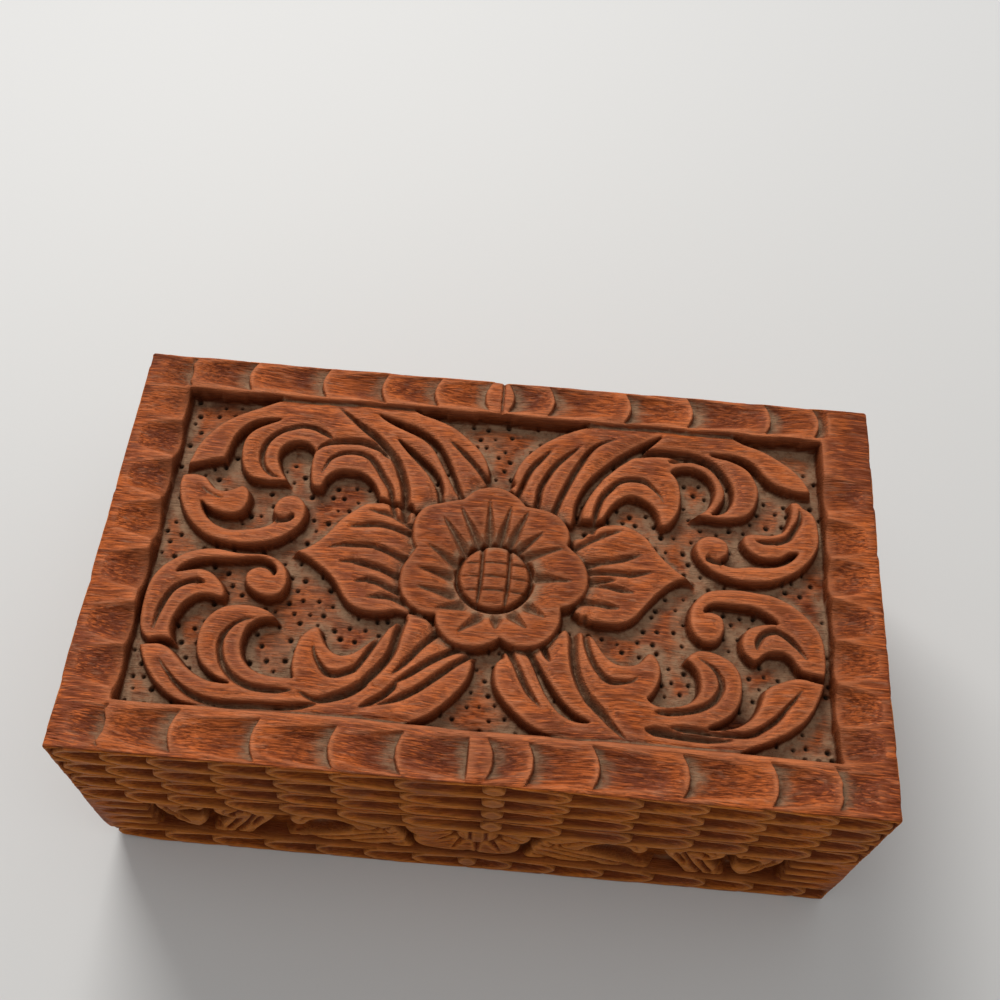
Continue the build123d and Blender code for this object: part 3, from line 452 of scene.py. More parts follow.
def lid_sheet():
    """The carving of the lid's top."""
    sheet = Sheet((-half_length, -half_depth), (half_length, half_depth))
    u, v = sheet.u, sheet.v
    lines = outlines("lid_top_board", 2, box_top - ornament_drop)
    flower = signed_gap(sheet, [line for line in lines if holds(line, flower_centre)])
    leaf = signed_gap(sheet, [line for line in lines if not holds(line, flower_centre)])

    groups = ((deep_strokes, deep_size), (vein_strokes, vein_size), (petal_strokes, petal_size))
    for strokes, size in groups:
        for points in strokes:
            sheet.groove(points, *size, flower_centre)
    sheet.groove((-79, 17.5, -75.5, 15, -71.5, 13.5), 0.6, 0.4, 3.5, 0.8)
    leaf_cut = sheet.cut
    sheet.cut = np.zeros_like(u)
    leaf = leaf + 1.9 * smooth((flower + 3.5) / 2.5)

    # Leaves: rounded shoulders, tucked under the flower and lower along the frame
    low_u, high_u, low_v, high_v = lid_field
    wobble = 0.35 * noise(u, v, 9, 9, 11)
    inside = np.minimum(np.minimum(u - low_u, high_u - u), np.minimum(v - low_v, high_v - v)) + wobble
    leaf_top = ornament_drop + 0.4 * unit(1 - leaf / 0.9) ** 2 + leaf_cut
    leaf_top += 0.5 * unit(1 - leaf / 4.5) ** 2
    leaf_top += 1.6 * unit(1 + flower / 6) ** 2
    leaf_top += 0.8 * unit(1 - inside / 3) ** 2
    leaf_top += 0.25 * noise(u, v, 13, 11, 3) + 0.22 * np.abs(noise(u, v, 5, 3.5, 4)) - 0.15

    # Flower: petals that slope down to a ring round the boss
    across, up = u - flower_centre[0], v - flower_centre[1]
    radius = np.hypot(across, up)
    for x0, y0, x1, y1 in flower_notches:
        notch(sheet, (x0, y0), (x1, y1), notch_width, notch_depth)
    notches = sheet.cut
    petals = ornament_drop + 0.4 * unit(1 - flower / 1.1) ** 2 + notches - 0.2
    petals += 1.7 * unit((16.5 - radius) / 6.5) ** 1.2 + 0.2 * np.abs(noise(u, v, 5, 5, 12))
    ring = ring_depth * unit(1 - np.abs(radius - ring_radius) / 1.3) ** 0.7
    petals = np.where(radius > ring_radius, np.maximum(petals, ring), petals)
    sheet.cut = np.zeros_like(u)
    for x in (-2.6, 4.4):
        sheet.groove((x - 0.3, -13, x + 0.3, -2, x, 9), 0.7, 1.6, 1.6, 0.3)
    for y in (-6.4, -2.6, 1.4):
        sheet.groove((-9, y - 0.4, 1, y + 0.3, 11, y), 0.5, 0.9, 1.2, 0.1)
    boss = 1.5 + 1.2 * (radius / 9.2) ** 2 + 2.4 * unit((radius - 8.4) / 1.3) ** 1.5 + sheet.cut
    flower_top = np.where(radius < ring_radius, boss, petals)

    # Floor: roughly chiselled, with punch marks
    chips = noise(u, v, 3.2, 2.4, 5) + 0.8 * np.abs(noise(u, v, 2.2, 1.6, 6))
    sheet.dots = punched(sheet, lid_field, 21)
    floor = lid_floor + 0.36 * chips + 0.9 * sheet.dots
    on_leaf = smooth((leaf + 0.5) / 0.85)
    on_flower = smooth((flower + 0.5) / 0.85)
    field = floor + (leaf_top - floor) * on_leaf
    field = field + (flower_top - field) * on_flower
    in_field = smooth((inside - 0.3) / 0.6)
    on_floor = (1 - on_leaf) * (1 - on_flower) * in_field
    sheet.dots = sheet.dots * on_floor
    ring_dust = smooth((1.9 - np.abs(radius - 10.7)) / 0.8)
    cut_dust = smooth((np.where(on_flower > 0.5, notches, leaf_cut * 0.8) - 0.9) / 0.5)
    beside = np.maximum(np.maximum(leaf, flower), -inside)
    off_walls = smooth((-beside - 0.45) / 0.5)
    corner_dust = smooth((beside + 4.2 + 1.5 * noise(u, v, 7, 6, 16)) / 2.6) * off_walls
    patchy = 0.45 * smooth((0.2 + noise(u, v, 11, 9, 13)) / 0.7) * off_walls
    rim_dust = smooth((flower + 2.4) / 1.4) * smooth((-flower - 0.4) / 0.5)
    rim_dust *= 0.6 + 0.4 * noise(u, v, 6, 6, 17)
    floor_dust = on_floor * np.maximum(patchy, corner_dust)
    sheet.dust = np.maximum.reduce([ring_dust, cut_dust, floor_dust, rim_dust])
    settled = 0.4 + 0.25 * noise(u, v, 5, 4, 18)
    sheet.cut_dust = settled * smooth((leaf_cut - 1.1) / 0.9) * on_leaf * (1 - on_flower) * in_field
    # Painted shade on the sunk floor. The field is also darkened a little, unevenly, and the flower more.
    field_darkening = 0.12 + 0.12 * noise(u, v, 16, 12, 14)
    sheet.dark = np.maximum(0.38 * on_floor, field_darkening * in_field + 0.2 * on_flower)

    # Borders: rows of scales along the front and back, scoops square to both ends
    back_edges = (-89, -71.3, -51.5, -34.8, -20.3, 14, 35.2, 52.2, 72.7, 86.8)
    front_edges = (-88.5, -72, -52.4, -34, -18.6, 13.8, 29.3, 50.8, 71.4, 87)
    back, back_dust = scale_row(u, v - 52.6, 5.5, back_edges, (-6.0, 2.2), 2.4, 2.4, 31)
    front, front_dust = scale_row(u, v + 51.4, 6.0, front_edges, (-1.4, 4.8), 2.4, 2.4, 32, square=True)
    slit = 0.8 * unit(1 - np.abs(u + 1) / 0.55)
    back += np.where(v > high_v, slit, 0)
    left_scoops = [(42, 0.5), (30.5, 1), (17.8, 1), (5, 1), (-9.5, 1), (-24.5, 0.95), (-36, 0.9)]
    right_scoops = [(30, 0.7), (16.5, 1), (5, 0.9), (-7, 1), (-18.3, 1), (-30.5, 1), (-40, 0.8)]
    tips, scoop_length, scoop_depth = round(half_length) - 2.5, 10.5, 3.2
    left = edge_scoops(tips + u, v, left_scoops, scoop_length, scoop_depth, 5.9)
    right = edge_scoops(tips - u, v, right_scoops, scoop_length, scoop_depth, 5.8)
    border = np.where(v > high_v, back, np.where(v < low_v, front, 0))
    at_ends = unit((np.abs(u) - high_u) / 2.5)
    border = border * (1 - smooth(at_ends))
    ends = np.where(u < 0, left, right) * smooth((high_v + 1 - v) / 3) * smooth((v - low_v + 1) / 3)
    border = np.maximum(border, np.where((v < high_v + 2) & (v > low_v - 2), ends, 0))
    for x, y, turn in ((-96, 52, 1), (-95.5, -51, 1), (95, -51.5, -1)):
        reach = (u - x) * turn + 1.5 * ((v - y) / 5) ** 2
        tip = 2.2 * unit(reach / 8) * unit(1 - ((v - y) / 5) ** 2)
        border = np.maximum(border, np.where((reach > 0) & (reach < 8.5), tip, 0))
    border += 0.12 * np.abs(noise(u, v, 5, 3, 8)) + 0.03

    # Painted shade in the border scoops, stronger where they are deeper, with uneven darkening and more
    # towards the back corners.
    back_corner_darkening = smooth(1.2 - np.hypot((half_length - np.abs(u)) / 22, (half_depth - v) / 38))
    border_shade = 0.45 * smooth((border - 0.3) / 1.2) + 0.15 * noise(u, v, 12, 9, 15) + 0.35 * back_corner_darkening
    sheet.dark = np.maximum(sheet.dark, border_shade * (1 - in_field))
    dust = np.where(v > high_v, back_dust, np.where(v < low_v, front_dust, 0))
    sheet.dust = np.maximum(sheet.dust, dust * (1 - smooth(at_ends)))
    wall = smooth(inside / 0.7)
    depth = border * (1 - wall) + field * wall
    depth += 0.04 * noise(u, v, 3.0, 0.8, 9) + 0.05 * noise(u, v, 7, 2, 10)
    sheet.finish(depth, False)
    return sheet


# Strokes of the walls, drawn for the left half, from the middle of the wall's lower edge
wall_strokes = [
    (-18, 24.5, -26, 20.5, -36, 15.8, -46, 11.8),
    (-17.5, 20, -26, 16, -36, 12.3),
    (-17, 15.5, -24, 12),
    (-44.4, 27.5, -43, 30.6, -39, 32, -34, 32, -29, 30.2, -24.5, 26.8, -21, 22.5),
    (-64.8, 27.8, -64, 30.5, -60.5, 31.2, -56.5, 29.3, -57.8, 24, -61, 17, -64, 11.5),
    (-60, 26, -62.5, 20, -66, 13),
    (-54, 30, -55.5, 25, -58, 19),
    (-79.6, 31.5, -79.4, 26.5, -77.8, 22, -75, 18.2),
    (-76, 31, -73, 31.5, -71.5, 30),
    (-38, 19.8, -43, 15.6, -48, 12.6),
    (-20, 28, -25, 24, -31, 21.5),
    (-57.5, 31.5, -61.5, 29, -63, 25.5),
    (-66.5, 17, -69, 13),
    (-80.8, 29, -80, 24.5, -78, 19.5),
    (-74.5, 26, -73, 27.5, -71, 27),
]
side_columns = (-99, -88, -76.5, -62.5, -48, -33.6, -17.5, 24, 41, 56.5, 71, 86.5, 99)
base_columns = (-98, -85, -71, -56.5, -42.5, -29.5, -16, 12, 25, 38, 52, 66, 80, 94)
end_columns = (-57, -44, -30, -16, 16, 30, 44, 57)


def side_sheet(node, axis, half, columns, base, strokes, seed):
    """The carving of one side of the box, over its whole height."""
    sheet = Sheet((-half, 0), (half, box_top))
    u, v = sheet.u, sheet.v
    near, far = [corner[axis] for corner in corners(node)]
    level = near + ornament_drop if near < 0 else far - ornament_drop
    gap = signed_gap(sheet, outlines(node, axis, level))
    squeeze = 1.0 if half > 80 else 0.86

    for points in strokes:
        for turn in (1, -1):
            scales = (squeeze * turn, 1) * (len(points) // 2)
            sheet.groove([p * s for p, s in zip(points, scales)], 1.1, 1.5, 2.6, 0.6)
    boss_x, boss_y = 2.2 * squeeze, 26.0
    for number in range(11):
        angle = math.radians(90 + 360 / 11 * (number + 0.5))
        wedge = [(boss_x + r * math.cos(angle), boss_y + r * math.sin(angle)) for r in (6.4, 12.5)]
        notch(sheet, *wedge, 1.2, 1.6)
    leaf_cut = sheet.cut
    sheet.cut = np.zeros_like(u)
    for x in (-1.9, 2.3):
        sheet.groove((boss_x + x, 21.5, boss_x + x, 30.5), 0.6, 1.0, 1.2, 0.2)
    radius = np.hypot(u - boss_x, v - boss_y)
    top = ornament_drop + unit(1 - gap / 2.4) ** 2 + leaf_cut + 0.3 * noise(u, v, 11, 8, seed)
    top += 1.6 * unit((12 - radius) / 6)
    boss = 1.0 + 1.6 * (radius / 5.6) ** 3 + sheet.cut
    top = np.where(radius < 5.6, boss, top + 1.2 * unit(1 - np.abs(radius - 6.0) / 0.8))
    chips = noise(u, v, 3.0, 2.4, seed + 1)
    edge = half - panel_end_margin
    floor = panel_floor + 0.25 * chips
    on_top = smooth((gap + 0.7) / 1.1)
    field = floor + (top - floor) * on_top

    # Rows of scales: three on the lid, one on the body above the panel and one below it
    rows = np.zeros_like(u)
    seam = body_top + 0.2
    row_height = (box_top - seam) / 3
    sway = 0.5 * noise(u, v * 0, 28, 5, seed + 2)
    wavy = 0.45 * noise(u, v, 13, 8, seed + 12) * smooth((box_top - v) / 4) * smooth((v - panel_high) / 4)
    high = v + wavy
    deep, tip = 2.9, 0.3

    def row(up, reach, number, edges=columns, lens=(2.6, 8.6), bulge=5.0):
        return scale_row(u, up, reach, edges, lens, bulge, deep, seed + number, tip)[0]

    for number in range(3):
        top_edge = box_top - number * row_height
        centre = top_edge - row_height / 2 + sway * min(number, 1)
        in_row = (high <= top_edge) & (high > top_edge - row_height)
        rows = np.where(in_row, row(high - centre, row_height / 2, number), rows)
    middle, reach = (seam + panel_high) / 2, (seam - panel_high) / 2
    rows = np.where((high <= seam) & (v > panel_high), row(high - middle, reach, 4), rows)
    reach = panel_low / 2
    rows = np.where(v <= panel_low, row(v - reach, reach, 5, base, (-3.0, 2.5), 5.2), rows)
    end_cuts = [(32, 1), (25.8, 1), (19.4, 1), (13.4, 0.9)]
    ends = edge_scoops(half - 2.5 - np.abs(u), v, end_cuts, 13, 2.6, 2.9)
    rows = np.where((v > panel_low) & (v <= panel_high), ends, rows)
    rows = rows * smooth((half - np.abs(u)) / 2.5)
    rows += 0.1 * np.abs(noise(u, v, 5, 2.5, seed + 6)) + 0.03

    inside = np.minimum(edge - np.abs(u), np.minimum(v - panel_low, panel_high - v))
    inside = inside + 0.3 * noise(u, v, 8, 8, seed + 7)
    wall = smooth(inside / 0.9)
    on_floor = wall * (1 - on_top)
    sheet.dust = on_floor * smooth((0.2 + noise(u, v, 9, 7, seed + 9)) / 0.5)
    depth = rows * (1 - wall) + field * wall
    depth += 0.05 * noise(u, v, 3.0, 0.8, seed + 8)
    # Painted shade: the scale scoops darken as they deepen, and the sunk panel's floor is darkened.
    sheet.dark = np.maximum(0.9 * smooth((rows - 0.15) / 1.0) * (1 - wall), 0.85 * on_floor)
    sheet.finish(depth, True)
    return sheet


long_side = (1, half_length, side_columns, base_columns, wall_strokes)
short_side = (0, half_depth, end_columns, end_columns, wall_strokes[:4])
# Each face: its sheet, the axis it is square to, its plane, and the axes across it
carved_sides = {
    "+z": (lid_sheet(), 2, box_top, (0, 1)),
    "-y": (side_sheet("body_front_wall", *long_side, 50), 1, -half_depth, (0, 2)),
    "+y": (side_sheet("body_back_wall", *long_side, 70), 1, half_depth, (0, 2)),
    "-x": (side_sheet("body_left_wall", *short_side, 90), 0, -half_length, (1, 2)),
    "+x": (side_sheet("body_right_wall", *short_side, 110), 0, half_length, (1, 2)),
}
layer_names = ("dark", "dust", "wear_and_highlight", "steep", "dot", "side")


# Turning a board and its carved faces into a mesh
def grid_block(lines, plain):
    """The surface of a block on grid lines. Each plain side is one flat face."""
    counts = [len(line) for line in lines]
    index = np.indices(counts)
    fine, touched = np.zeros(counts, bool), np.zeros(counts, np.int8)
    for axis, name in enumerate("xyz"):
        for sign, place in (("-", 0), ("+", counts[axis] - 1)):
            mask = index[axis] == place
            touched += mask
            if sign + name not in plain:
                fine |= mask
    used = fine | (touched > 1)
    number = np.full(counts, -1, np.int64)
    number[used] = np.arange(used.sum())
    points = np.stack([np.array(lines[a])[index[a][used]] for a in range(3)], axis=1)
    faces, rings = [], []
    for axis, name in enumerate("xyz"):
        for sign, place in (("-", 0), ("+", counts[axis] - 1)):
            sheet = np.take(number, place, axis=axis)
            flip = (sign == "-") != (axis == 1)
            if sign + name in plain:
                ring = np.concatenate([sheet[:-1, 0], sheet[-1, :-1], sheet[:0:-1, -1], sheet[0, :0:-1]])
                rings.append(ring[::-1] if flip else ring)
                continue
            a, b, c, d = sheet[:-1, :-1], sheet[1:, :-1], sheet[1:, 1:], sheet[:-1, 1:]
            quad = np.stack([a, d, c, b] if flip else [a, b, c, d], axis=-1)
            faces.append(quad.reshape(-1, 4))
    return points, np.concatenate(faces), rings


def worn(points, low, high, radius):
    """Rounds the edges of the block between two corners."""
    low, high = np.array(low, float), np.array(high, float)
    from_low, from_high = points - low, high - points
    gap = np.minimum(from_low, from_high)
    inward = np.where(from_low < from_high, 1.0, -1.0)
    if np.ndim(radius):
        radius = radius[:, None]
    near = np.clip(radius - gap, 0, None)
    largest = near.max(axis=1, keepdims=True)
    size = np.linalg.norm(near, axis=1, keepdims=True)
    scale = np.where(size > 1e-9, largest / np.maximum(size, 1e-9), 1.0)
    return points + inward * near * (1 - scale)


def carve(points, sides, joint_cuts=()):
    """Moves a board's surface points inward by the carving, and gives the layers for its colour."""
    layers = {name: np.zeros(len(points)) for name in layer_names}
    corner = np.array([-half_length, -half_depth, 0.0])
    from_corner = np.linalg.norm(points - corner, axis=1)
    chipped = noise(points[:, 0] + points[:, 2] * 0.7, points[:, 1], 9, 9, 41)
    radius = arris_radius + 0.4 * chipped + 4.5 * np.exp(-((from_corner / 9) ** 2))
    moved = worn(points, (-half_length, -half_depth, 0), (half_length, half_depth, box_top), radius)
    for side in sides:
        sheet, axis, plane, across = carved_sides[side]
        gap = np.abs(points[:, axis] - plane)
        share = unit(1 - gap / fade_depth)
        near = share > 0
        u, v = points[near, across[0]], points[near, across[1]]
        inward = -1.0 if side[0] == "+" else 1.0
        moved[near, axis] += inward * share[near] * sheet.sample("depth", u, v)
        on_face = gap < 0.001
        for name in layer_names:
            value = sheet.sample(name, points[on_face, across[0]], points[on_face, across[1]])
            layers[name][on_face] = np.maximum(layers[name][on_face], value)
    for plane, direction, cut in joint_cuts:
        share = unit(1 - np.abs(points[:, 2] - plane) / fade_depth)
        moved[:, 2] += direction * share * cut(points[:, 0], points[:, 1])
    return moved, layers


def spaced(low, high, pitch):
    """Evenly spaced grid lines."""
    return np.linspace(low, high, max(int(round((high - low) / pitch)), 1) + 1)


def merged(*lines):
    """Several sets of grid lines as one."""
    return np.array(sorted(set(np.round(np.concatenate(lines), 5))))


def with_lines(lines, extra):
    """Grid lines with some more, each as a close pair so that a step stays crisp."""
    pairs = [value + side for value in extra for side in (-0.01, 0.01)]
    kept = [value for value in lines if min([abs(value - e) for e in extra] or [9]) > 0.06]
    return np.sort(kept + pairs)


def mesh_piece(name, points, faces, rings, layers, body, material):
    """Makes a mesh object that rides on a CAD body, and hides the CAD node of its name."""
    mesh = bpy.data.meshes.new(name)
    loops = np.concatenate([faces.ravel()] + rings).astype(np.int32)
    sizes = np.array([4] * len(faces) + [len(ring) for ring in rings], np.int32)
    starts = np.concatenate([[0], np.cumsum(sizes)[:-1]]).astype(np.int32)
    mesh.vertices.add(len(points))
    mesh.vertices.foreach_set("co", (points * MM).astype(np.float32).ravel())
    mesh.loops.add(len(loops))
    mesh.loops.foreach_set("vertex_index", loops)
    mesh.polygons.add(len(sizes))
    mesh.polygons.foreach_set("loop_start", starts)
    mesh.update(calc_edges=True)
    mesh.validate()
    for layer, values in layers.items():
        made = mesh.attributes.new(layer, "FLOAT", "POINT")
        made.data.foreach_set("value", values.astype(np.float32))
    on_grid = np.arange(len(mesh.polygons)) < len(faces)
    mesh.attributes.new("carved", "FLOAT", "FACE").data.foreach_set("value", on_grid.astype(np.float32))
    mesh.polygons.foreach_set("use_smooth", on_grid)
    piece = bpy.data.objects.new(name + "_carved", mesh)
    bpy.context.scene.collection.objects.link(piece)
    mesh.materials.append(material)
    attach(piece, body)
    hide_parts(name)
    return piece


def lightened(piece, triangles):
    """Reduces a mesh to about so many triangles, then marks its sharp edges."""
    count = sum(len(p.vertices) - 2 for p in piece.data.polygons)
    if count > triangles:
        reduce = piece.modifiers.new("reduce", "DECIMATE")
        reduce.ratio = triangles / count
        graph = bpy.context.evaluated_depsgraph_get()
        mesh = bpy.data.meshes.new_from_object(piece.evaluated_get(graph), depsgraph=graph)
        piece.modifiers.clear()
        piece.data = mesh
    piece.data.set_sharp_from_angle(angle=math.radians(62))
    return piece


# Procedural materials
def feed(tree, socket, value):
    """Gives an input a number, a colour or another node's output."""
    if isinstance(value, bpy.types.NodeSocket):
        tree.links.new(value, socket)
    else:
        socket.default_value = value


def node(tree, kind, inputs=None, **settings):
    """A shader node of a kind, with its inputs and settings."""
    made = tree.nodes.new("ShaderNode" + kind)
    for name, value in settings.items():
        setattr(made, name, value)
    for key, value in (inputs or {}).items():
        feed(tree, made.inputs[key], value)
    return made


def ramp(tree, source, low, high):
    """Maps a value between two limits to 0 to 1."""
    return node(tree, "MapRange", {0: source, 1: low, 2: high, 3: 0.0, 4: 1.0}, clamp=True).outputs[0]


def blend_colours(tree, share, first, second):
    """Mixes two colours by a share."""
    made = node(tree, "Mix", {0: share}, data_type="RGBA")
    for key, value in ((6, first), (7, second)):
        feed(tree, made.inputs[key], (*value, 1.0) if isinstance(value, tuple) else value)
    return made.outputs[2]


def math_of(tree, operation, first, second):
    """A number from two numbers."""
    return node(tree, "Math", {0: first, 1: second}, operation=operation).outputs[0]


def stretched_noise(tree, place, scale, detail=3.0, rough=0.55):
    """Noise stretched along the axes by the three scales, in cells per metre."""
    mapped = node(tree, "Mapping", {"Vector": place, "Scale": scale})
    settings = {"Vector": mapped.outputs[0], "Scale": 1.0, "Detail": detail, "Roughness": rough}
    return node(tree, "TexNoise", settings).outputs[0]


def new_material(name):
    """An empty material with its output and main shader."""
    material = bpy.data.materials.new(name)
    material.use_nodes = True
    tree = material.node_tree
    tree.nodes.clear()
    shader = node(tree, "BsdfPrincipled")
    node(tree, "OutputMaterial", {0: shader.outputs[0]})
    return material, tree, shader


# Tones of worn ridges with a painted highlight, of painted shade on cut walls and in deep cuts, and of
# dust. The sides' copies are warmer, as painted warm bounce light.
worn_highlight_tone, side_worn_highlight_tone = (0.56, 0.19, 0.08), (0.7, 0.255, 0.052)
wall_shade_tone = (0.11, 0.02, 0.005)
deep_shade_tone, side_deep_shade_tone = (0.035, 0.007, 0.002), (0.11, 0.02, 0.003)
dust_tone, scuff_tone = (0.27, 0.165, 0.098), (0.52, 0.27, 0.16)
patch_tone, dot_tone = (0.155, 0.04, 0.022), (0.008, 0.004, 0.002)
wood_specular = 0.05
# Warmer, more orange tones for the side faces: painted warm bounce light.
side_bounce_tones = ((0.54, 0.145, 0.014), (0.41, 0.098, 0.008), (0.19, 0.036, 0.003))


def wood(name, grain, light, middle, dark, carved=True, gloss=0.42):
    """Bare hardwood with its grain along one axis. Carved wood is dusty in the cuts, worn with a painted
    highlight on the ridges, darkened with painted shade on steep walls and in hollows, and warmer on the
    sides as painted bounce light.
    """
    material, tree, shader = new_material(name)
    place = node(tree, "TexCoord").outputs["Object"]
    along = "XYZ".index(grain)
    pore_tone = tuple(c * 0.3 for c in dark)
    pale = tuple(min(c * 1.35, 1.0) for c in light)

    def field(along_grain, across_grain, detail=3.0, rough=0.55):
        scale = [along_grain if axis == along else across_grain for axis in range(3)]
        return stretched_noise(tree, place, scale, detail, rough)

    def share_of(value, factor):
        return math_of(tree, "MULTIPLY", value, factor)

    wander = node(tree, "TexNoise", {"Vector": place, "Scale": 22.0, "Detail": 2.0})
    shift = node(tree, "VectorMath", {0: wander.outputs["Color"], 1: (0.006,) * 3}, operation="MULTIPLY")
    place = node(tree, "VectorMath", {0: place, 1: shift.outputs[0]}, operation="ADD").outputs[0]
    figure = field(13, 190, 4.0)
    streaks, fibre = field(60, 900), field(160, 2400)
    pores = field(350, 2600, 2.0)
    patches = field(55, 55, 4.0)
    if carved:
        layer = {}
        for name in ("carved", *layer_names):
            stored = node(tree, "Attribute", attribute_name=name).outputs["Fac"]
            layer[name] = share_of(stored, layer["carved"]) if layer else stored
        # Side faces take the warmer tones: painted warm bounce light.
        light, middle, dark = [
            blend_colours(tree, layer["side"], first, second)
            for first, second in zip((light, middle, dark), side_bounce_tones)
        ]
    colour = blend_colours(tree, ramp(tree, figure, 0.36, 0.64), middle, light)
    blotch, blotchy = (patch_tone, 0.8) if carved else (dark, 0.25)
    coats = [
        (ramp(tree, patches, 0.46, 0.58), blotchy, blotch),
        (ramp(tree, streaks, 0.5, 0.62), 0.9, dark),
        (ramp(tree, fibre, 0.5, 0.6), 0.8, dark),
        (ramp(tree, pores, 0.57, 0.66), 0.65, pore_tone),
        (ramp(tree, fibre, 0.47, 0.35), 0.75, pale),
    ]
    rough = gloss
    if carved:
        specks = field(520, 520, 4.0, 0.7)
        drifts = field(75, 75)
        scuffs = field(160, 800, 4.0, 0.65)
        dust = share_of(layer["dust"], ramp(tree, drifts, 0.26, 0.5))
        dust = share_of(dust, ramp(tree, specks, 0.2, 0.55))
        # Painted highlight with the wear on ridges, painted shade on steep walls and in hollows.
        coats += [
            (ramp(tree, scuffs, 0.55, 0.75), 0.35, scuff_tone),
            (layer["wear_and_highlight"], 0.6, blend_colours(tree, layer["side"], worn_highlight_tone, side_worn_highlight_tone)),
            (layer["steep"], 0.8, wall_shade_tone),
            (layer["dark"], 0.75, blend_colours(tree, layer["side"], deep_shade_tone, side_deep_shade_tone)),
            (dust, 0.85, dust_tone),
            (layer["dot"], 1.0, dot_tone),
        ]
        rough = math_of(tree, "ADD", share_of(dust, 0.3), gloss)
    for amount, share, tone in coats:
        colour = blend_colours(tree, share_of(amount, share), colour, tone)
    feed(tree, shader.inputs["Base Color"], colour)
    feed(tree, shader.inputs["Roughness"], rough)
    shader.inputs["Specular IOR Level"].default_value = wood_specular
    height = share_of(fibre, 0.6)
    for part, weight in ((pores, -1.0), (streaks, 0.8), (field(500, 500), 0.8)):
        height = math_of(tree, "ADD", height, share_of(part, weight))
    bump = node(tree, "Bump", {"Strength": 0.8, "Distance": 0.0004, "Height": height})
    tree.links.new(bump.outputs[0], shader.inputs["Normal"])
    return material


def metal(name, colour, tarnish, rough):
    """Dull metal with patches of tarnish."""
    material, tree, shader = new_material(name)
    place = node(tree, "TexCoord").outputs["Object"]
    patches = stretched_noise(tree, place, (260, 260, 260), 4.0)
    tint = blend_colours(tree, ramp(tree, patches, 0.4, 0.7), colour, tarnish)
    tree.links.new(tint, shader.inputs["Base Color"])
    shader.inputs["Metallic"].default_value = 1.0
    uneven = math_of(tree, "ADD", math_of(tree, "MULTIPLY", patches, 0.2), rough)
    tree.links.new(uneven, shader.inputs["Roughness"])
    return material


# Light, middle and dark tones of each wood
red_tones = ((0.43, 0.103, 0.024), (0.32, 0.069, 0.015), (0.14, 0.028, 0.007))
board_tones = ((0.45, 0.22, 0.11), (0.38, 0.17, 0.08), (0.24, 0.09, 0.04))
dowel_tones = ((0.55, 0.34, 0.18), (0.48, 0.28, 0.14), (0.36, 0.19, 0.09))
wood_x = wood("carved_wood_x", "X", *red_tones)
wood_y = wood("carved_wood_y", "Y", *red_tones)
plain_wood = wood("planed_wood", "X", *board_tones, carved=False, gloss=0.7)
dowel_wood = wood("dowel_wood", "Z", *dowel_tones, carved=False, gloss=0.7)
brass = metal("aged_brass", (0.62, 0.42, 0.17), (0.32, 0.19, 0.08), 0.32)
steel = metal("dull_steel", (0.42, 0.41, 0.40), (0.22, 0.19, 0.17), 0.38)


# Cuts in the joint faces: the rebate for the bottom board, and the hinge seats
bottom_high = corners("body_bottom_board")[1]
rebate_x = bottom_high[0] + bottom_board_clearance
rebate_y = bottom_high[1] + bottom_board_clearance
rebate_height = bottom_high[2]


def rebate(x, y):
    """How far the walls' undersides are cut away for the bottom board."""
    return np.where((np.abs(x) < rebate_x) & (np.abs(y) < rebate_y), rebate_height, 0.0)


hinge_y = half_depth - hinge_inset
hinge_boxes = [corners(f"{side}_hinge_body_leaf") for side in ("left", "right")]
leaf_steps = []
for low, high in hinge_boxes:
    leaf_steps += [low[0] - leaf_clearance * 2, high[0] + leaf_clearance * 2]
leaf_front = hinge_boxes[0][0][1] - leaf_clearance
seam_half = (rail_low[2] - body_top) / 2
knuckle_radius = hinge_boxes[0][1][1] - hinge_y
leaf_thickness = 1.0


def hinge_seats(x, y):
    """The bevel along the back of the seam, and the seats for the leaves and knuckles."""
    behind = y - hinge_y
    bevel = np.tan(opening_half_angle) * behind + seam_half / math.cos(opening_half_angle) - seam_half
    cut = np.clip(bevel, 0, None)
    reach = knuckle_radius + turning_clearance
    trough = np.sqrt(np.clip(reach**2 - behind**2, 0, None)) - seam_half
    at_leaf = np.zeros_like(x, bool)
    for low, high in zip(leaf_steps[::2], leaf_steps[1::2]):
        at_leaf |= (x > low) & (x < high)
    seat = np.maximum(np.where(y > leaf_front, leaf_thickness, 0.0), trough)
    return np.where(at_leaf, np.maximum(cut, seat), cut)


def thickness_lines(side, half, pitch):
    """Grid lines through a wall's thickness, closer near its carved face."""
    outer, inner = side * half, side * (half - wall_thickness)
    deep = outer - side * fade_depth
    near = spaced(min(outer, deep), max(outer, deep), pitch)
    return merged(near, spaced(min(deep, inner), max(deep, inner), 3.5))


def long_lines(z_low, z_high, side, hinged, low_rebate):
    """Grid lines for a full-length board at the front (-1) or back (1)."""
    ys = thickness_lines(side, half_depth, 0.75)
    if hinged:
        ys = with_lines(merged(ys, spaced(hinge_y - 2.5, half_depth, 0.3)), [leaf_front])
    if low_rebate:
        ys = with_lines(ys, [side * rebate_y])
    xs = spaced(-half_length, half_length, wall_pitch)
    steps = (leaf_steps if hinged else []) + ([-rebate_x, rebate_x] if low_rebate else [])
    if steps:
        xs = with_lines(xs, steps)
    return xs, ys, spaced(z_low, z_high, wall_pitch)


def end_lines(z_low, z_high, side, low_rebate):
    """Grid lines for a board at the left (-1) or right (1) end, between the long ones."""
    xs = thickness_lines(side, half_length, 1.0)
    if low_rebate:
        xs = with_lines(xs, [side * rebate_x])
    reach = half_depth - wall_thickness
    return xs, spaced(-reach, reach, wall_pitch), spaced(z_low, z_high, wall_pitch)


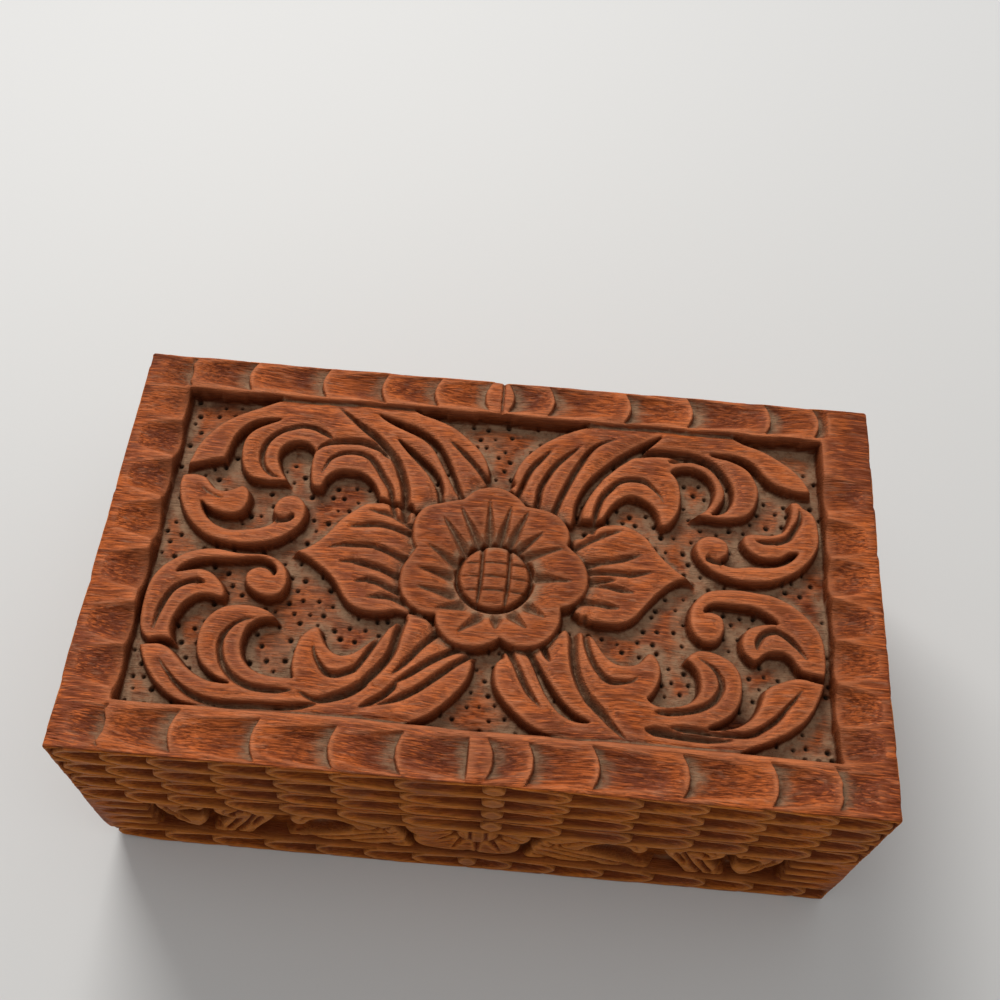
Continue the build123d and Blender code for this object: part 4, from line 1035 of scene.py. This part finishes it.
def board(name, lines, plain, sides, body, slot, material, triangles, cuts=()):
    """A carved board: grid, worn edges, carving, mesh."""
    points, faces, rings = grid_block(lines, plain)
    low, high = [line[0] for line in lines], [line[-1] for line in lines]
    moved, layers = carve(points, sides, cuts)
    moved = moved + worn(points, low, high, joint_radius) - points
    piece = mesh_piece(name, moved, faces, rings, layers, body, material)
    return lightened(piece, triangles)


lid_x, lid_y, body_x, body_y = [
    (body, f"{body}_wood", material) for body in ("lid", "body") for material in (wood_x, wood_y)
]
lid_lines = (
    spaced(-half_length, half_length, lid_pitch),
    spaced(-half_depth, half_depth, lid_pitch),
    spaced(board_low[2], box_top, wall_pitch),
)
board("lid_top_board", lid_lines, ("-z",), ("+z", "-x", "+x", "-y", "+y"), *lid_x, board_triangles)
rail_span, wall_span = (rail_low[2], rail_high[2]), (0, body_top)

for side, word, face, hidden in ((-1, "front", "-y", "+y"), (1, "back", "+y", "-y")):
    hinged = side > 0
    faces = (face, "-x", "+x")
    lid_cuts = [(rail_low[2], 1, hinge_seats)] if hinged else []
    lines = long_lines(*rail_span, side, hinged, False)
    plain = (hidden, "+z") if hinged else (hidden, "+z", "-z")
    board(f"lid_{word}_rail", lines, plain, faces, *lid_x, rail_triangles, lid_cuts)
    body_cuts = [(body_top, -1, hinge_seats)] if hinged else []
    lines = long_lines(*wall_span, side, hinged, True)
    plain = (hidden,) if hinged else (hidden, "+z")
    board(f"body_{word}_wall", lines, plain, faces, *body_x, wall_triangles, body_cuts + [(0, 1, rebate)])

for side, word, face, hidden in ((-1, "left", "-x", "+x"), (1, "right", "+x", "-x")):
    lines = end_lines(*rail_span, side, False)
    plain = (hidden, "+z", "-z", "-y", "+y")
    board(f"lid_{word}_rail", lines, plain, (face,), *lid_y, end_rail_triangles)
    lines = end_lines(*wall_span, side, True)
    plain = (hidden, "+z")
    board(f"body_{word}_wall", lines, plain, (face,), *body_y, end_wall_triangles, [(0, 1, rebate)])

# The CAD nodes that are shown as they are
leaves = [f"{side}_hinge_{body}_leaf" for side in ("left", "right") for body in ("lid", "body")]
for material, names in (
    (plain_wood, ["body_bottom_board"]),
    (dowel_wood, ["lid_corner_dowels", "lid_board_pins", "body_corner_dowels"]),
    (steel, ["bottom_nails", "left_hinge_pin", "right_hinge_pin"]),
    (brass, ["hinge_lid_screws", "hinge_body_screws", *leaves]),
):
    for name in names:
        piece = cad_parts[name]
        piece.data.materials.clear()
        piece.data.materials.append(material)

# Plain floor and background, in metres
floor_reach, floor_drop = 6.0, 0.0002
fade_start, fade_end = 0.2, 0.62
floor_tone, backdrop_tone = (0.62, 0.617, 0.61, 1), (0.735, 0.733, 0.725, 1)
ambient_tone, ambient_strength = (0.97, 0.985, 1.0, 1), 0.3

floor_mesh = bpy.data.meshes.new("floor")
floor_corners = [(x * floor_reach, y * floor_reach, 0) for x, y in ((-1, -1), (1, -1), (1, 1), (-1, 1))]
floor_mesh.from_pydata(floor_corners, [], [(0, 1, 2, 3)])
floor = bpy.data.objects.new("floor", floor_mesh)
floor.location.z = -floor_drop
scene = bpy.context.scene
scene.collection.objects.link(floor)
floor_material, tree, shader = new_material("pale_floor")
shader.inputs["Base Color"].default_value = floor_tone
shader.inputs["Roughness"].default_value = 0.8
shader.inputs["Specular IOR Level"].default_value = 0.1
floor_mesh.materials.append(floor_material)


def background_rays(tree):
    """1 for rays that show the background: from the camera, or by a reflection or a refraction."""
    path = node(tree, "LightPath").outputs
    seen = math_of(tree, "MAXIMUM", path["Is Camera Ray"], path["Is Glossy Ray"])
    return math_of(tree, "MAXIMUM", seen, path["Is Transmission Ray"])


# Far from the object the floor fades into the background
spot = node(tree, "TexCoord").outputs["Object"]
distance = node(tree, "VectorMath", {0: spot}, operation="LENGTH").outputs["Value"]
far_share = math_of(tree, "MULTIPLY", ramp(tree, distance, fade_start, fade_end), background_rays(tree))
glow = node(tree, "Emission", {"Color": backdrop_tone})
faded = node(tree, "MixShader", {0: far_share, 1: shader.outputs[0], 2: glow.outputs[0]})
tree.links.new(faded.outputs[0], tree.nodes["Material Output"].inputs[0])

world = bpy.data.worlds.new("studio")
scene.world = world
world.use_nodes = True
sky = world.node_tree
sky.nodes.clear()
ambient = node(sky, "Background", {"Color": ambient_tone, "Strength": ambient_strength})
backdrop = node(sky, "Background", {"Color": backdrop_tone, "Strength": 1.0})
studio = {0: background_rays(sky), 1: ambient.outputs[0], 2: backdrop.outputs[0]}
node(sky, "OutputWorld", {0: node(sky, "MixShader", studio).outputs[0]})

# Soft rectangular lights that face the box: place, power in watts, width and height, colour
lamp_target = Vector((0, 0, 0.05))
lamps = {
    "window": ((-0.35, 0.75, 0.85), 11.6, (0.6, 0.45), (1.0, 0.985, 0.96)),
    "overhead": ((0.1, -0.15, 1.1), 3.2, (0.9, 0.9), (1.0, 0.98, 0.95)),
}
for name, (place, power, (width, height), colour) in lamps.items():
    light = bpy.data.lights.new(name, "AREA")
    light.shape = "RECTANGLE"
    light.energy = power
    light.size, light.size_y = width, height
    light.color = colour
    lamp = bpy.data.objects.new(name, light)
    lamp.location = place
    lamp.rotation_euler = (lamp_target - Vector(place)).to_track_quat("-Z", "Y").to_euler()
    scene.collection.objects.link(lamp)

# Camera, fitted to the box's edges in the photograph
camera_lens, camera_sensor = 44.43, 36.0
camera_turn = (0.543929, -0.0326908, 0.0797647)
camera_place = (0.005018, -0.148755, 0.350381)
camera_data = bpy.data.cameras.new("camera")
camera = bpy.data.objects.new("camera", camera_data)
scene.collection.objects.link(camera)
camera_data.sensor_width = camera_sensor
camera_data.lens = camera_lens
camera_data.clip_start = 0.01
camera.rotation_mode = "XYZ"
camera.rotation_euler = camera_turn
camera.location = camera_place
scene.camera = camera
scene.view_settings.view_transform = "Standard"
